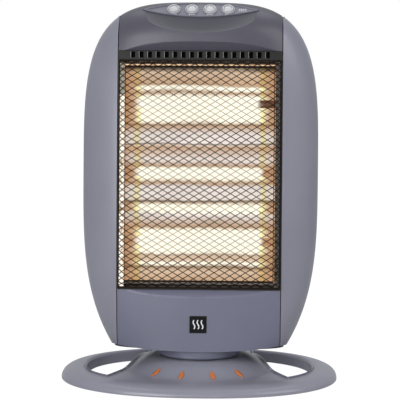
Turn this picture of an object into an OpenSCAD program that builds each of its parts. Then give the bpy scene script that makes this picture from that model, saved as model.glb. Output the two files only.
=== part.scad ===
// Free-standing halogen heater that swings on a ring base.
// Origin: on the floor under the middle of the base. +Z up, the front faces -Y.
// The body leans back, so its pieces are drawn in their own upright frame and tilted by in_body().

/* [Body] */
// Half of the greatest width of the body
body_half_width = 149; // [135:1:165]
// Half of the width at the foot of the body
foot_half_width = 108; // [106:1:120]
// Height of the body along its own axis
body_height = 438; // [425:1:460]
// Height at which the body is widest
widest_height = 228; // [200:1:240]
// Reach of the front, forward of the swing axis
front_reach = 62; // [58:1:70]
// How far the front draws in at the foot
front_draw = 6; // [2:1:8]
// Reach of the back, behind the swing axis
back_reach = 50; // [46:1:60]
// Height of the rounded shoulder at the top
shoulder_height = 50; // [44:1:60]
// Wall of the moulded covers
wall = 2.5; // [2:0.1:3]
// Gap between neighbouring covers
cover_gap = 0.4; // [0.3:0.1:0.6]
// Angle that the body leans back
lean = 5; // [3:0.5:6]
// Height of the foot of the body above the floor
body_foot_z = 37.5; // [36:0.5:39]
// Depth at which side panels meet the rear shell, behind the swing axis
part_line_y = 8; // [6.5:0.5:12]
// Rise of the lower edge from its middle to the seams
foot_rise = 6; // [3:0.5:8]

/* [Window] */
// Half of the width between the two seams
seam_x = 102.5; // [100:0.5:105]
// Lower edge of the window
window_bottom = 76.7; // [74:0.1:80]
// Height of the upper cover, from the window to the top of the body
upper_height = 64; // [61:0.5:70]
// Depth of the window's front face, forward of the swing axis
window_face = 50; // [49:0.5:51]
// How far the covers' ledges reach back behind the window's face
ledge_depth = 12; // [10.5:0.5:14]
// Height of the row of vent slots
vent_height = 10; // [8:0.5:11]
// Number of vent slots
vent_count = 17; // [11:1:19]
// Distance from slot to slot
vent_pitch = 10.45; // [9.5:0.05:10.8]
// Width of one vent slot
vent_width = 5.4; // [4:0.1:6]

/* [Guard] */
// Width of one mesh opening
mesh_width = 25.8; // [24:0.2:30]
// Height of one mesh opening
mesh_height = 15.6; // [14:0.2:20]
// Diameter of the mesh wire
mesh_wire = 1.1; // [0.9:0.1:1.3]
// Side of the square rim bar
rim_bar = 2.4; // [2.2:0.1:2.8]
// How far the guard stands out of the window
guard_depth = 9; // [7:0.5:9.5]
// Width of the guard's bent edge
guard_edge = 8; // [6:0.5:10]

/* [Reflector and lamps] */
// Distance from the window's lower edge up to the reflector
reflector_low_margin = 9.3; // [7:0.1:14]
// Distance from the reflector up to the vent slots
reflector_high_margin = 5; // [4.5:0.5:9]
// Half of the height of the middle trough
ridge_offset = 36; // [33:0.5:40]
// Distance from lamp to lamp
lamp_pitch = 86.5; // [84:0.1:88]
// Depth of the lamps, forward of the swing axis
lamp_y = 25; // [24:0.5:27]
// Depth of the reflector's ridges, forward of the swing axis
ridge_y = 38; // [36:0.5:40]
// Depth of the bottom of the troughs, forward of the swing axis
trough_y = 4; // [3:0.5:6]
// Thickness of the sheet metal
sheet = 1.2; // [1:0.1:1.5]
// Outer radius of a quartz tube
tube_radius = 5; // [4.5:0.1:5.5]
// Wall of a quartz tube
tube_wall = 1; // [0.8:0.1:1.2]
// Length of the glowing filament
glow_length = 162; // [150:1:170]
// Length of a ceramic lamp cap
cap_length = 15; // [13:0.5:18]
// Radius of a ceramic lamp cap
cap_radius = 7; // [6.6:0.1:7.5]

/* [Controls] */
// Angle of the control plate's face above level
panel_tilt = 47; // [45:1:50]
// Half of the width of the control plate
panel_half_width = 73; // [68:1:76]
// Length of the control plate, front to back
panel_length = 28; // [26:0.5:30]
// Depth of the control plate
panel_depth = 10; // [9:0.5:12]
// Radius of a push-button
button_radius = 6.9; // [6.4:0.1:7.2]
// Width of the silver collar round a button
collar_width = 1.5; // [1.2:0.1:1.8]
// Distance from button to button
button_pitch = 22.6; // [21.5:0.1:24]
// Height of a button above the plate
button_height = 3.2; // [3:0.1:5]
// Travel of a button
button_travel = 2.5; // [2:0.5:3]
// Side of the square badge plate
badge_size = 21; // [16:0.5:24]
// Height of the badge plate's middle
badge_z = 34.5; // [30:0.5:40]

/* [Base] */
// Half of the width of the base
base_half_width = 175; // [165:1:185]
// Half of the depth of the base
base_half_depth = 131; // [126:1:136]
// Half of the width inside the ring
inner_half_width = 147; // [140:1:150]
// Half of the depth inside the ring
inner_half_depth = 103; // [100:1:106]
// Height of the ring's inner rim
rim_z = 14; // [12:0.5:16]
// Height of the feet under the ring
foot_height = 1.5; // [1.5:0.1:2.5]
// Height of the hub on the bridge
hub_z = 30; // [29.5:0.5:31]
// Radius of the flat top of the hub
hub_radius = 54; // [54:0.5:58]
// Radius at which the hub has run out into the ring
flare_radius = 100; // [92:1:108]
// Wall of the base moulding
base_wall = 3; // [2.5:0.1:3.5]
// Length of one leaf inlay
leaf_length = 14.5; // [12:0.5:18]
// Width of one leaf inlay
leaf_width = 6; // [5:0.1:7]
// Distance of the leaf inlays from the swing axis
leaf_ring = 85; // [82:0.5:88]
// Half of the width of the bridge at the hub
bridge_half_width = 81; // [78:0.5:86]

/* [Swing drive] */
// Radius of the turntable
turntable_radius = 53; // [51:0.5:53.5]
// Radius of the swivel post
post_radius = 8; // [7.5:0.1:8.5]
// Running clearance of turning pieces
running = 0.3; // [0.25:0.05:0.4]
// Distance from the swing axis to the drive arm's pin
arm_reach = 21; // [20:0.5:22]
// Distance from the swing axis to the motor shaft
motor_x = 65; // [64:0.5:66]
// Throw of the crank
crank_throw = 12; // [11.5:0.1:12.5]
// Radius of the motor
motor_radius = 23; // [20:0.5:24]
// Height of the motor
motor_height = 16; // [14:0.5:20]

/* [Hidden] */

$fn = 48;
plastic = [0.53, 0.53, 0.58];
far = 600;

// Body form
plan_power = 2.6;
top_power = 3.6;
shoulder_power = 2.2;
foot_power = 3.5;
oval_power = 2.25;
form_rows = 24;
form_cols = 48;
base_cols = 48;

// Places that several pieces share
window_half = seam_x - cover_gap;
window_top = body_height - upper_height;
face_lip = 1.6;
tunnel_out = window_half - 1.4;
tunnel_in = tunnel_out - 1.6;
tunnel_depth = 10;
plate_in = tunnel_in - sheet;
rail_out = tunnel_in + 5.5;
rail_x = (tunnel_in + rail_out) / 2;
rail_front = -16;
rail_back = 5;
rail_top = window_top + 14;
floor_z = 3;
floor_top = floor_z + 3;
vent_bottom = window_top - vent_height;
reflector_bottom = window_bottom + reflector_low_margin;
reflector_top = vent_bottom - reflector_high_margin;
reflector_mid = (reflector_bottom + reflector_top) / 2;
lamp_heights = [for (k = [-1, 0, 1]) reflector_mid + k * lamp_pitch];
guard_low = window_bottom + 2;
guard_high = vent_bottom - 1.5;

// Control plate
panel_y = -36;
panel_z = body_height - 11.7;
skirt = 2;
scoop_half = panel_half_width - 4;
scoop_top = panel_z - 8;
scoop_drop = 23;
scoop_lip = 2;
button_xs = [for (k = [0:3]) (k - 1.5) * button_pitch];
switch_face = -panel_depth - 2;

// Base and drive, heights above the floor
glide_top = hub_z + 1.2;
table_bottom = glide_top + running;
sleeve_top = hub_z + 20;
ring_bottom = sleeve_top + running;
post_top = ring_bottom + 2.7;
arm_top = post_top + 4;
pin_top = arm_top + 1.6;
link_bottom = pin_top + 0.5;
link_top = link_bottom + 2.5;
crank_bottom = link_top + 0.5;
crank_top = crank_bottom + 3;
bracket_z = crank_top + 2;
motor_z = bracket_z + 2;
cover_bottom = 2;
cover_top = 4.5;
hub_under = hub_z - base_wall;
bridge_taper = 0.3;
bridge_curve = 0.114;
leaf_angles = [-37, -13, 13, 37];
foot_radius = 7;
glide_outer = 50;
glide_inner = 38;
bracket_width = 24;
post_flange = 3;
screw_ring = 42;
link_half = 4;
eye_radius = 6;
bracket_y = motor_radius + 6;
tip_x = -30;
tip_y = 16;
tip_collar = 10.2;

// Rear details
gland_x = -60;
gland_z = 28;
gland_face = back_reach - 2;
cable_radius = 3.8;
handle_z = body_height - 40;
handle_half_width = 46;
handle_half_height = 13;
handle_depth = 22;
screw_heights = [window_bottom - 6.7, reflector_mid + 8, window_top];
foot_angles = [30, 90, 150, 210, 270, 330];
rear_slots = 11;
rear_slot_z = 125;
rear_slot_pitch = 19;
rear_slot_length = 68;
rear_slot_height = 5;
rear_slot_gap = 8;
housing_screw_length = 14;
housing_seat = rail_back + 8;

// Helpers ------------------------------------------------------------------

module in_body() translate([0, 0, body_foot_z]) rotate([-lean, 0, 0]) children();

module on_panel() translate([0, panel_y, panel_z]) rotate([90 - panel_tilt, 0, 0]) children();

// Joins smooth moulded shapes into one mesh.
module one_mesh() resize([0, 0, 0]) union() children();

module tube(h, r, bore) {
    difference() {
        cylinder(h = h, r = r);
        translate([0, 0, -1]) cylinder(h = h + 2, r = bore);
    }
}

// A screw whose head starts at z = 0, with its shank below.
module screw(length, shank, head, head_height) {
    cylinder(h = head_height, r = head, $fn = 24);
    translate([0, 0, -length]) cylinder(h = length + 0.5, r = shank, $fn = 24);
}

// A lens: where two equal circles overlap.
module lens(length, width, steps = 360) {
    r = (pow(length / 2, 2) + pow(width / 2, 2)) / width;
    intersection_for (s = [-1, 1]) translate([0, s * (r - width / 2)]) circle(r = r, $fn = steps);
}

module box(low, high) translate(low) cube(high - low);

// A straight round wire from p to q.
module wire(p, q, r) {
    v = q - p;
    translate(p) rotate([0, acos(v.z / norm(v)), atan2(v.y, v.x)]) cylinder(h = norm(v), r = r, $fn = 16);
}

function loft_faces(rows, cols) = concat(
    [[for (c = [0:cols - 1]) c]],
    [for (r = [0:rows - 2], c = [0:cols - 1]) let (a = r * cols + c, b = r * cols + (c + 1) % cols)
        [a, b + cols, b]],
    [for (r = [0:rows - 2], c = [0:cols - 1]) let (a = r * cols + c, b = r * cols + (c + 1) % cols)
        [a, a + cols, b + cols]],
    [[for (c = [cols - 1:-1:0]) (rows - 1) * cols + c]]);

module loft(sections)
    polyhedron([for (s = sections) each s], loft_faces(len(sections), len(sections[0])), 10);

function unit(v) = v / norm(v);

// A tube of a few sides that follows points.
module sweep(path, r, sides) {
    last = len(path) - 1;
    loft([for (i = [0:last])
        let (t = unit(path[min(i + 1, last)] - path[max(i - 1, 0)]),
            side = unit(cross(t, abs(t.z) > 0.9 ? [1, 0, 0] : [0, 0, 1])),
            up = cross(t, side))
        [for (k = [0:sides - 1]) path[i] + r * (cos(360 * k / sides) * side + sin(360 * k / sides) * up)]]);
}

module spring(radius, height, turns, r = 0.5) {
    steps = 10 * turns;
    rise = height - 2 * r - 0.2;
    sweep([for (i = [0:steps])
        [radius * cos(36 * i), radius * sin(36 * i), r + 0.1 + rise * i / steps]], r, 5);
}

// Body form ----------------------------------------------------------------

function half_width(z) = z > widest_height
    ? body_half_width * pow(1 - pow((z - widest_height) / (body_height - widest_height), top_power),
        1 / top_power)
    : body_half_width - (body_half_width - foot_half_width) * pow(1 - z / widest_height, foot_power);

function shoulder(z) = let (t = (z - body_height + shoulder_height) / shoulder_height)
    t > 0 ? pow(1 - pow(t, shoulder_power), 1 / shoulder_power) : 1;

function reach(z, front) = shoulder(z)
    * (front ? front_reach - front_draw * pow(max(0, 1 - z / widest_height), 2) : back_reach);

function bulge(v, power) = sign(v) * pow(abs(v), 2 / power);

// One level section of the body, anticlockwise from the right.
function section(z) = [for (c = [0:form_cols - 1]) let (a = 360 * c / form_cols)
    [half_width(z) * bulge(cos(a), plan_power), reach(z, sin(a) < 0) * bulge(sin(a), plan_power), z]];

module body_form(inset = 0) {
    scale([1 - inset / body_half_width, 1 - inset / back_reach, 1 - inset / body_height])
        loft([for (k = [0:form_rows - 1])
            section(body_height * sin(90 * k / (form_rows - 0.5)))]);
}

// The lower edge is an arc across the front.
module foot_cut() {
    r = (pow(seam_x, 2) + pow(foot_rise, 2)) / (2 * foot_rise);
    rotate([90, 0, 0]) translate([0, r, -far / 2]) cylinder(h = far, r = r, $fn = 240);
}

module front_panel(inset, low, high)
    intersection() {
        body_form(inset);
        box([-seam_x + cover_gap / 2, -far, low], [seam_x - cover_gap / 2, part_line_y, high]);
    }

// Rear moulding, closed at the shoulder and open at the foot.
module rear_form(inset)
    intersection() {
        body_form(inset);
        box([-far, part_line_y + cover_gap / 2, inset > 0 ? -1 : 5], [far, far, far]);
    }

module rear_screw_places()
    in_body() for (x = [-rail_x, rail_x], z = screw_heights)
        translate([x, 0, z]) rotate([-90, 0, 0]) children();

module rear_shell() color(plastic) in_body() one_mesh() difference() {
    union() {
        difference() {
            rear_form(0);
            rear_form(wall);
        }
        intersection() {
            rear_form(wall / 2);
            union() {
                for (x = [-rail_x, rail_x], z = screw_heights)
                    translate([x, rail_back + 1.5, z]) rotate([-90, 0, 0]) cylinder(h = far, r = 6, $fn = 16);
            }
        }
        translate([gland_x, gland_face - 9, gland_z]) rotate([-90, 0, 0]) cylinder(h = 9, r = 12, $fn = 32);
    }
    // Screw wells
    for (x = [-rail_x, rail_x], z = screw_heights) translate([x, 0, z]) rotate([-90, 0, 0]) {
        translate([0, 0, housing_seat]) cylinder(h = far, r = 4.2, $fn = 16);
        cylinder(h = far, r = 1.9, $fn = 12);
    }
    // Cord gland
    translate([gland_x, 0, gland_z]) rotate([-90, 0, 0]) cylinder(h = far, r = 7.2, $fn = 32);
    // Carry grip
    box([-handle_half_width - cover_gap / 2, part_line_y + 5, handle_z - handle_half_height - cover_gap / 2],
        [handle_half_width + cover_gap / 2, far, handle_z + handle_half_height + cover_gap / 2]);
    for (k = [0:rear_slots - 1], x = [-rear_slot_length - rear_slot_gap / 2, rear_slot_gap / 2])
        box([x, part_line_y + 5, rear_slot_z + rear_slot_pitch * k],
            [x + rear_slot_length, far, rear_slot_z + rear_slot_pitch * k + rear_slot_height]);
}

module side_panel(side) mirror([side < 0 ? 1 : 0, 0, 0]) in_body() one_mesh() {
    intersection() {
        difference() {
            body_form();
            body_form(wall);
        }
        foot_cut();
        box([seam_x + cover_gap / 2, -far, -1], [far, part_line_y - cover_gap / 2, body_height]);
    }
    // Return along the seam
    intersection() {
        body_form(0.2);
        foot_cut();
        box([seam_x + cover_gap / 2, -far, -1],
            [seam_x + cover_gap / 2 + wall, ledge_depth - window_face, body_height]);
        translate([0, 0, 4]) body_form(0.2);
    }
}

module side_panel_left() color(plastic) side_panel(-1);
module side_panel_right() color(plastic) side_panel(1);

// How far the surface stands from the swing axis at x and z.
function front_depth(x, z) = reach(z, true)
    * pow(1 - pow(min(1, abs(x) / half_width(z)), plan_power), 1 / plan_power);

// Half of the control plate's length, front to back, at x.
function panel_half(x) = let (r = (pow(panel_half_width, 2) + pow(panel_length / 2, 2)) / panel_length)
    sqrt(r * r - x * x) - r + panel_length / 2;

// Hollow in the shoulder: it starts under the control plate's lip and runs out into the front below.
module scoop(grow) {
    steps = 8;
    loft([for (k = [-9:9]) let (
            x = (scoop_half - 0.5) * sin(10 * k),
            low = scoop_top - grow / 2 - scoop_drop * sqrt(1 - pow(x / scoop_half, 2)),
            y_low = grow - front_depth(x, low),
            y_top = panel_y - panel_half(x) * sin(panel_tilt) + scoop_lip + grow,
            z_top = panel_z - panel_half(x) * cos(panel_tilt))
        [for (i = [0:steps]) [x, y_low + (y_top - y_low) * pow(i / steps, 0.85), low + (z_top - low) * i / steps],
            [x, y_top, far], [x, -far, far], [x, -far, low]]]);
}

module upper_solid(inset) difference() {
    front_panel(inset, window_top + inset, far + far);
    scoop(inset);
    translate([0, -window_face - face_lip + inset * 0.4, window_top + inset]) rotate([-45, 0, 0])
        box([-far, -far, -far], [far, 0, 0]);
}

module upper_cover() color(plastic) in_body() one_mesh() difference() {
    upper_solid(0);
    upper_solid(wall);
    box([-far, ledge_depth - window_face, -far], [far, far, window_top + wall]);
    on_panel() translate([0, 0, -panel_depth - cover_gap]) linear_extrude(far)
        offset(delta = cover_gap / 2) lens(2 * panel_half_width, panel_length, 180);
}

module lower_solid(inset) difference() {
    intersection() {
        front_panel(inset, -1, window_bottom - inset);
        if (inset == 0) foot_cut();
    }
    translate([0, -window_face - face_lip + inset * 0.4, window_bottom - inset]) rotate([45, 0, 0])
        box([-far, -far, 0], [far, 0, far]);
}

module badge_block(grow, depth)
    translate([0, -reach(badge_z, true), badge_z]) rotate([2.6, 0, 0])
        box([-badge_size / 2 - grow, -1, -badge_size / 2 - grow],
            [badge_size / 2 + grow, depth, badge_size / 2 + grow]);

module lower_cover() color(plastic) in_body() one_mesh() difference() {
    lower_solid(0);
    lower_solid(wall);
    box([-far, ledge_depth - window_face, window_bottom - wall], [far, far, far]);
    badge_block(cover_gap / 2, 0.9);
}

module badge_plate() color([0.05, 0.05, 0.06]) in_body() badge_block(0, 0.8);

// Window -------------------------------------------------------------------

module window_frame() color([0.08, 0.08, 0.08]) in_body() difference() {
    union() {
        box([-window_half, -window_face, window_bottom + cover_gap],
            [window_half, -window_face + 2, window_top - cover_gap]);
        box([-tunnel_out, -window_face + 1, window_bottom + 2],
            [tunnel_out, -window_face + tunnel_depth, vent_bottom - 1]);
    }
    box([-tunnel_in, -window_face - 1, window_bottom + 4], [tunnel_in, 0, vent_bottom - 3]);
    for (k = [0:vent_count - 1]) let (x = (k - (vent_count - 1) / 2) * vent_pitch)
        box([x - vent_width / 2, -window_face - 1, vent_bottom + 1],
            [x + vent_width / 2, 0, window_top - 1.5]);
}

// Two families of slanted wires between x = -w..w and z = 0..h, drawn in the plane y = 0.
module slant_wires(w, h) {
    m = mesh_height / mesh_width;
    count = ceil((2 * w + h / m) / mesh_width);
    for (k = [0:count]) let (c = w - mesh_width * (k + 0.5), xa = max(-w, c), xb = min(w, c + h / m))
        if (xb - xa > 6)
            wire([xa, 0, m * (xa - c)], [xb, 0, m * (xb - c)], mesh_wire / 2);
}

module bar_frame(w, z0, z1, bar, y)
    difference() {
        box([-w, y, z0], [w, y + bar, z1]);
        box([-w + bar, y - 1, z0 + bar], [w - bar, y + bar + 1, z1 - bar]);
    }

module guard_mesh() color([0.25, 0.24, 0.23]) in_body() {
    front_y = -window_face - guard_depth;
    w = tunnel_out - guard_edge;
    low = guard_low + guard_edge;
    high = guard_high - guard_edge;
    mid = rim_bar / 2;
    bar_frame(w, low, high, rim_bar, front_y);
    bar_frame(tunnel_out, guard_low, guard_high, rim_bar, -window_face - rim_bar);
    translate([0, front_y + mesh_wire / 2 + 0.05, low + mid]) slant_wires(w - mid, high - low - rim_bar);
    translate([0, front_y + mesh_wire * 1.5 + 0.15, low + mid]) mirror([1, 0, 0])
        slant_wires(w - mid, high - low - rim_bar);
    rows = floor((high - low) / mesh_height);
    for (k = [0:rows], s = [-1, 1]) let (z = low + mid + (high - low - rim_bar) * k / rows)
        wire([s * (w - mid), front_y + mid, z],
            [s * (tunnel_out - mid), -window_face - mid, z], mesh_wire / 2);
    cols = floor(2 * w / mesh_width);
    for (k = [0:cols], e = [0, 1]) let (x = (2 * k / cols - 1) * (w - mid - 1))
        wire([x, front_y + mid, e > 0 ? high - mid : low + mid],
            [x, -window_face - mid, e > 0 ? guard_high - mid : guard_low + mid], mesh_wire / 2);
}

// Reflector and lamps --------------------------------------------------------

ridge_heights = [reflector_bottom, reflector_mid - ridge_offset, reflector_mid + ridge_offset, reflector_top];

// Profile of the troughs as [y, z], with the sheet's back face shifted by t.
function trough_line(t) = [for (k = [0:2], i = [k == 0 ? 0 : 1:12])
    let (z0 = ridge_heights[k], z1 = ridge_heights[k + 1], u = 2 * i / 12 - 1)
    [-trough_y - (ridge_y - trough_y) * pow(abs(u), 2.4) + t, z0 + (z1 - z0) * i / 12]];

function reversed(list) = [for (i = [len(list) - 1:-1:0]) list[i]];

module reflector() color([0.85, 0.83, 0.8]) in_body()
    rotate([90, 0, 90]) translate([0, 0, -plate_in]) linear_extrude(2 * plate_in)
        polygon(concat(trough_line(0), reversed(trough_line(sheet))));

module end_plate() difference() {
    box([plate_in, -window_face + 6, reflector_bottom - 1], [tunnel_in, rail_back, reflector_top + 1]);
    for (z = lamp_heights) translate([0, -lamp_y, z]) rotate([0, 90, 0])
        cylinder(h = far, r = tube_radius + 0.4);
}

module end_plate_left() color("silver") in_body() mirror([1, 0, 0]) end_plate();
module end_plate_right() color("silver") in_body() end_plate();

module lamp(z) {
    half = tunnel_in + cap_length / 2;
    in_body() translate([-half, -lamp_y, z]) rotate([0, 90, 0])
        tube(2 * half, tube_radius, tube_radius - tube_wall);
}

module lamp_upper() color([1, 0.85, 0.55]) lamp(lamp_heights[2]);
module lamp_middle() color([1, 0.85, 0.55]) lamp(lamp_heights[1]);
module lamp_lower() color([1, 0.85, 0.55]) lamp(lamp_heights[0]);

module filaments() color([1, 0.6, 0.2]) in_body()
    for (z = lamp_heights) translate([0, -lamp_y, z]) rotate([0, 90, 0]) {
        half = tunnel_in + cap_length / 2;
        translate([0, 0, -glow_length / 2]) cylinder(h = glow_length, r = 1.5);
        translate([0, 0, -half]) cylinder(h = 2 * half, r = 0.5);
    }

module lamp_caps() color([0.93, 0.9, 0.84]) in_body() for (s = [-1, 1], z = lamp_heights)
    translate([s * (tunnel_in + 0.1), -lamp_y, z]) rotate([0, 90 * s, 0]) difference() {
        cylinder(h = cap_length, r = cap_radius);
        translate([0, 0, -1]) cylinder(h = cap_length / 2 + 0.95, r = tube_radius + 0.05);
    }

module lamp_clips() color("silver") in_body()
    for (s = [0, 1], z = lamp_heights, e = [-1, 1]) mirror([s, 0, 0])
        translate([tunnel_in, -lamp_y, z + e * (cap_radius + 0.6)]) box([0, -5, -0.5], [12, 5, 0.5]);

module heat_shield() color("silver") difference() {
    in_body() box([-rail_out, rail_back, window_bottom + 3], [rail_out, rail_back + sheet, vent_bottom]);
    rear_screw_places() cylinder(h = far, r = 2);
}

module thermal_cutout() color([0.2, 0.2, 0.2]) in_body()
    translate([0, rail_back + sheet, reflector_top - 22]) rotate([-90, 0, 0]) {
        cylinder(h = 6, r = 9);
        translate([0, 0, 6]) cylinder(h = 2, r = 6);
    }

// Chassis --------------------------------------------------------------------

module frame_rail(side) in_body() mirror([side < 0 ? 1 : 0, 0, 0]) difference() {
    box([tunnel_in, rail_front, floor_top], [rail_out, rail_back, rail_top]);
    box([tunnel_in + 1.5, rail_front - 1, floor_top + 2], [rail_out + 1, rail_back - 6, rail_top - 2]);
    for (z = screw_heights) translate([rail_x, -far / 2, z]) rotate([-90, 0, 0])
        cylinder(h = far, r = 1.8, $fn = 24);
}

module frame_rail_left() color("silver") frame_rail(-1);
module frame_rail_right() color("silver") frame_rail(1);

function floor_outline() = [for (p = section(floor_z))
    [p.x * (1 - (wall + cover_gap) / body_half_width), p.y * (1 - (wall + cover_gap) / back_reach)]];

module floor_plate() color([0.3, 0.3, 0.32]) difference() {
    in_body() translate([0, 0, floor_z]) linear_extrude(floor_top - floor_z) polygon(floor_outline());
    cylinder(h = far, r = 2 * post_radius + 1);
    for (a = [45:90:315]) rotate(a) translate([screw_ring, 0, 0]) cylinder(h = far, r = 1.9);
}

module turntable() color([0.5, 0.5, 0.56]) difference() {
    union() {
        intersection() {
            translate([0, 0, table_bottom]) cylinder(h = 30, r = turntable_radius, $fn = 96);
            in_body() box([-far, -far, -far], [far, far, floor_z]);
        }
        translate([0, 0, table_bottom]) cylinder(h = sleeve_top - table_bottom, r = 2 * post_radius);
    }
    translate([0, 0, -1]) cylinder(h = far, r = post_radius + running);
    for (a = [45:90:315]) rotate(a) translate([screw_ring, 0, 0]) cylinder(h = far, r = 1.7);
}

module turntable_screws() color("silver") for (a = [45:90:315]) rotate(a) translate([screw_ring, 0, 0])
    intersection() {
        translate([0, 0, body_foot_z + floor_top + 4.2]) screw(14, 1.5, 3.2, 2);
        translate([0, 0, table_bottom + 1]) cylinder(h = far, r = 10);
    }

// Base -------------------------------------------------------------------------

function flare(x, y, top) = let (t = (norm([x, y]) - hub_radius) / (flare_radius - hub_radius),
        u = min(1, max(0, t)))
    (top - rim_z) * (1 - u * u * (3 - 2 * u));

// Distance 1 is the outer edge, 0 the inner rim.
function ring_height(t) = (rim_z - foot_height) * pow(1 - pow(t, 2.4), 1 / 2.4);

// Point of a slightly squared oval at angle a.
function oval(a, half_x, half_y) = [half_x * sign(cos(a)) * pow(abs(cos(a)), 2 / oval_power),
    half_y * sign(sin(a)) * pow(abs(sin(a)), 2 / oval_power)];

function base_row(t, inset, turn) = [for (c = [0:base_cols - 1])
    let (p = oval(360 * c / base_cols, inner_half_width + (base_half_width - inset - inner_half_width) * t,
            inner_half_depth + (base_half_depth - inset - inner_half_depth) * t))
    [p.x, p.y, turn * (foot_height + ring_height(t) + flare(p.x, p.y, hub_z)) - inset]];

function hub_row(f, inset) = [for (c = [0:base_cols - 1])
    let (p = oval(360 * c / base_cols, inner_half_width * f, inner_half_depth * f))
    [p.x, p.y, rim_z + flare(p.x, p.y, hub_z) - inset]];

function floor_row(inset) = [for (p = base_row(1, inset, 1)) [p.x, p.y, inset > 0 ? -5 : foot_height]];

module base_form(inset)
    loft(concat([floor_row(inset)],
        [for (t = [0.99, 0.92, 0.8, 0.6, 0.3, 0]) base_row(t, inset, 1)],
        [for (f = [0.85, 0.7, 0.6, 0.5, 0.4, 0.34]) hub_row(f, inset)]));

// Half-width of the bridge at depth y: it widens towards the front.
function bridge_half(y) = bridge_half_width - bridge_taper * y + bridge_curve * y * y / bridge_half_width;

module hole_outline(grow) offset(delta = grow) offset(r = 5, $fn = 24) offset(delta = -5) difference() {
    polygon([for (c = [0:51]) oval(360 * c / 52, inner_half_width, inner_half_depth)]);
    polygon([for (s = [1, -1], k = [-5:5]) let (y = s * k / 5 * (inner_half_depth + 17))
        [s * bridge_half(y), y]]);
}

module leaf_outlines(grow) for (a = leaf_angles) rotate(a) translate([0, -leaf_ring]) rotate(90)
    offset(delta = grow) lens(leaf_length, leaf_width, 48);

module foot_places() for (a = foot_angles)
    translate(oval(a, (inner_half_width + base_half_width) / 2, (inner_half_depth + base_half_depth) / 2))
        children();

module base_shell() color(plastic) one_mesh() difference() {
    base_form(0);
    difference() {
        base_form(base_wall);
        linear_extrude(far) hole_outline(base_wall);
        foot_places() cylinder(h = far, r = foot_radius + 1, $fn = 16);
    }
    translate([0, 0, -1]) linear_extrude(far) hole_outline(0);
    translate([0, 0, -1]) cylinder(h = far, r = post_radius + 1, $fn = 32);
    // Seats of the leaf inlays
    difference() {
        linear_extrude(far) leaf_outlines(0.2);
        base_form(1.2);
    }
    // Screw holes in the hub
    for (a = [0:90:270]) rotate(a) translate([screw_ring, 0, 0]) cylinder(h = hub_z - 1, r = 1.6, $fn = 12);
    for (a = [0:120:240]) rotate(a) translate([16, 0, 0]) cylinder(h = hub_z - 1, r = 1.6, $fn = 12);
}

module leaf_inlays() color([0.85, 0.45, 0.15]) one_mesh() intersection() {
    linear_extrude(far) leaf_outlines(0);
    difference() {
        base_form(0.2);
        base_form(1.1);
    }
}

module rubber_feet() color([0.1, 0.1, 0.1]) foot_places()
    cylinder(h = foot_height, r = foot_radius);

module tip_place() translate([tip_x, tip_y, 0]) children();

module base_cover() color([0.3, 0.3, 0.32]) difference() {
    union() {
        translate([0, 0, cover_bottom])
            cylinder(h = cover_top - cover_bottom, r = hub_radius - base_wall - 1);
        for (a = [0:90:270]) rotate(a) translate([screw_ring, 0, cover_bottom])
            cylinder(h = hub_under - cover_bottom, r = 4.5);
        // Carrier of the tip-over switch
        translate([tip_x + 6, tip_y - 5, cover_bottom]) cube([4, 10, hub_under - cover_bottom - 1]);
    }
    for (a = [0:90:270]) rotate(a) translate([screw_ring, 0, 0]) {
        cylinder(h = far, r = 1.7);
        cylinder(h = cover_bottom + 2, r = 3.6);
    }
    tip_place() cylinder(h = far, r = 3 + running);
}

module base_cover_screws() color("silver") for (a = [0:90:270]) rotate(a)
    translate([screw_ring, 0, cover_bottom + 2]) rotate([180, 0, 0])
        screw(hub_z - cover_bottom - 3.5, 1.5, 3.3, 1.8);

module tip_switch() color([0.15, 0.15, 0.2])
    translate([tip_x - 9, tip_y - 4, hub_under - 9.7]) cube([15, 8, 9.4]);

module tip_plunger() color([0.9, 0.9, 0.9]) tip_place() {
    cylinder(h = hub_under - 10, r = 3);
    translate([0, 0, tip_collar]) cylinder(h = 1.3, r = 5);
}

module tip_spring() color("silver") tip_place() translate([0, 0, tip_collar + 1.3])
    spring(4.2, hub_under - 9.7 - tip_collar - 1.3, 3);

module glide_ring() color([0.9, 0.9, 0.88]) translate([0, 0, hub_z])
    tube(glide_top - hub_z, glide_outer, glide_inner);

module swivel_post() color("silver") difference() {
    union() {
        translate([0, 0, hub_under - post_flange]) cylinder(h = post_flange, r = 21);
        translate([0, 0, hub_under - post_flange])
            cylinder(h = post_top - hub_under + post_flange, r = post_radius);
    }
    translate([0, 0, -1]) cylinder(h = far, r = post_radius - 3.2);
    for (a = [0:120:240]) rotate(a) translate([16, 0, 0]) cylinder(h = hub_z, r = 1.7);
    for (a = [0:90:270]) rotate(a) translate([post_radius - 1.6, 0, post_top - 6])
        cylinder(h = 10, r = 0.8, $fn = 16);
}

module post_screws() color("silver") for (a = [0:120:240]) rotate(a)
    translate([16, 0, hub_under - post_flange]) rotate([180, 0, 0])
        screw(post_flange + base_wall - 1.5, 1.5, 3, 1.8);

module retaining_ring() color("silver") translate([0, 0, ring_bottom])
    tube(post_top - ring_bottom - 0.3, post_radius + 5, post_radius + 0.05);

module drive_arm() color("silver") difference() {
    union() {
        translate([0, 0, post_top]) cylinder(h = arm_top - post_top, r = post_radius + 2);
        translate([-5, -arm_reach, post_top]) cube([10, arm_reach, arm_top - post_top]);
        translate([0, -arm_reach, post_top]) cylinder(h = arm_top - post_top, r = 5);
        translate([0, -arm_reach, post_top]) cylinder(h = pin_top - post_top, r = 3);
    }
    cylinder(h = far, r = post_radius - 3.2);
    for (a = [0:90:270]) rotate(a) translate([post_radius - 1.6, 0, post_top - 1])
        cylinder(h = far, r = 0.8, $fn = 16);
}

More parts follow.
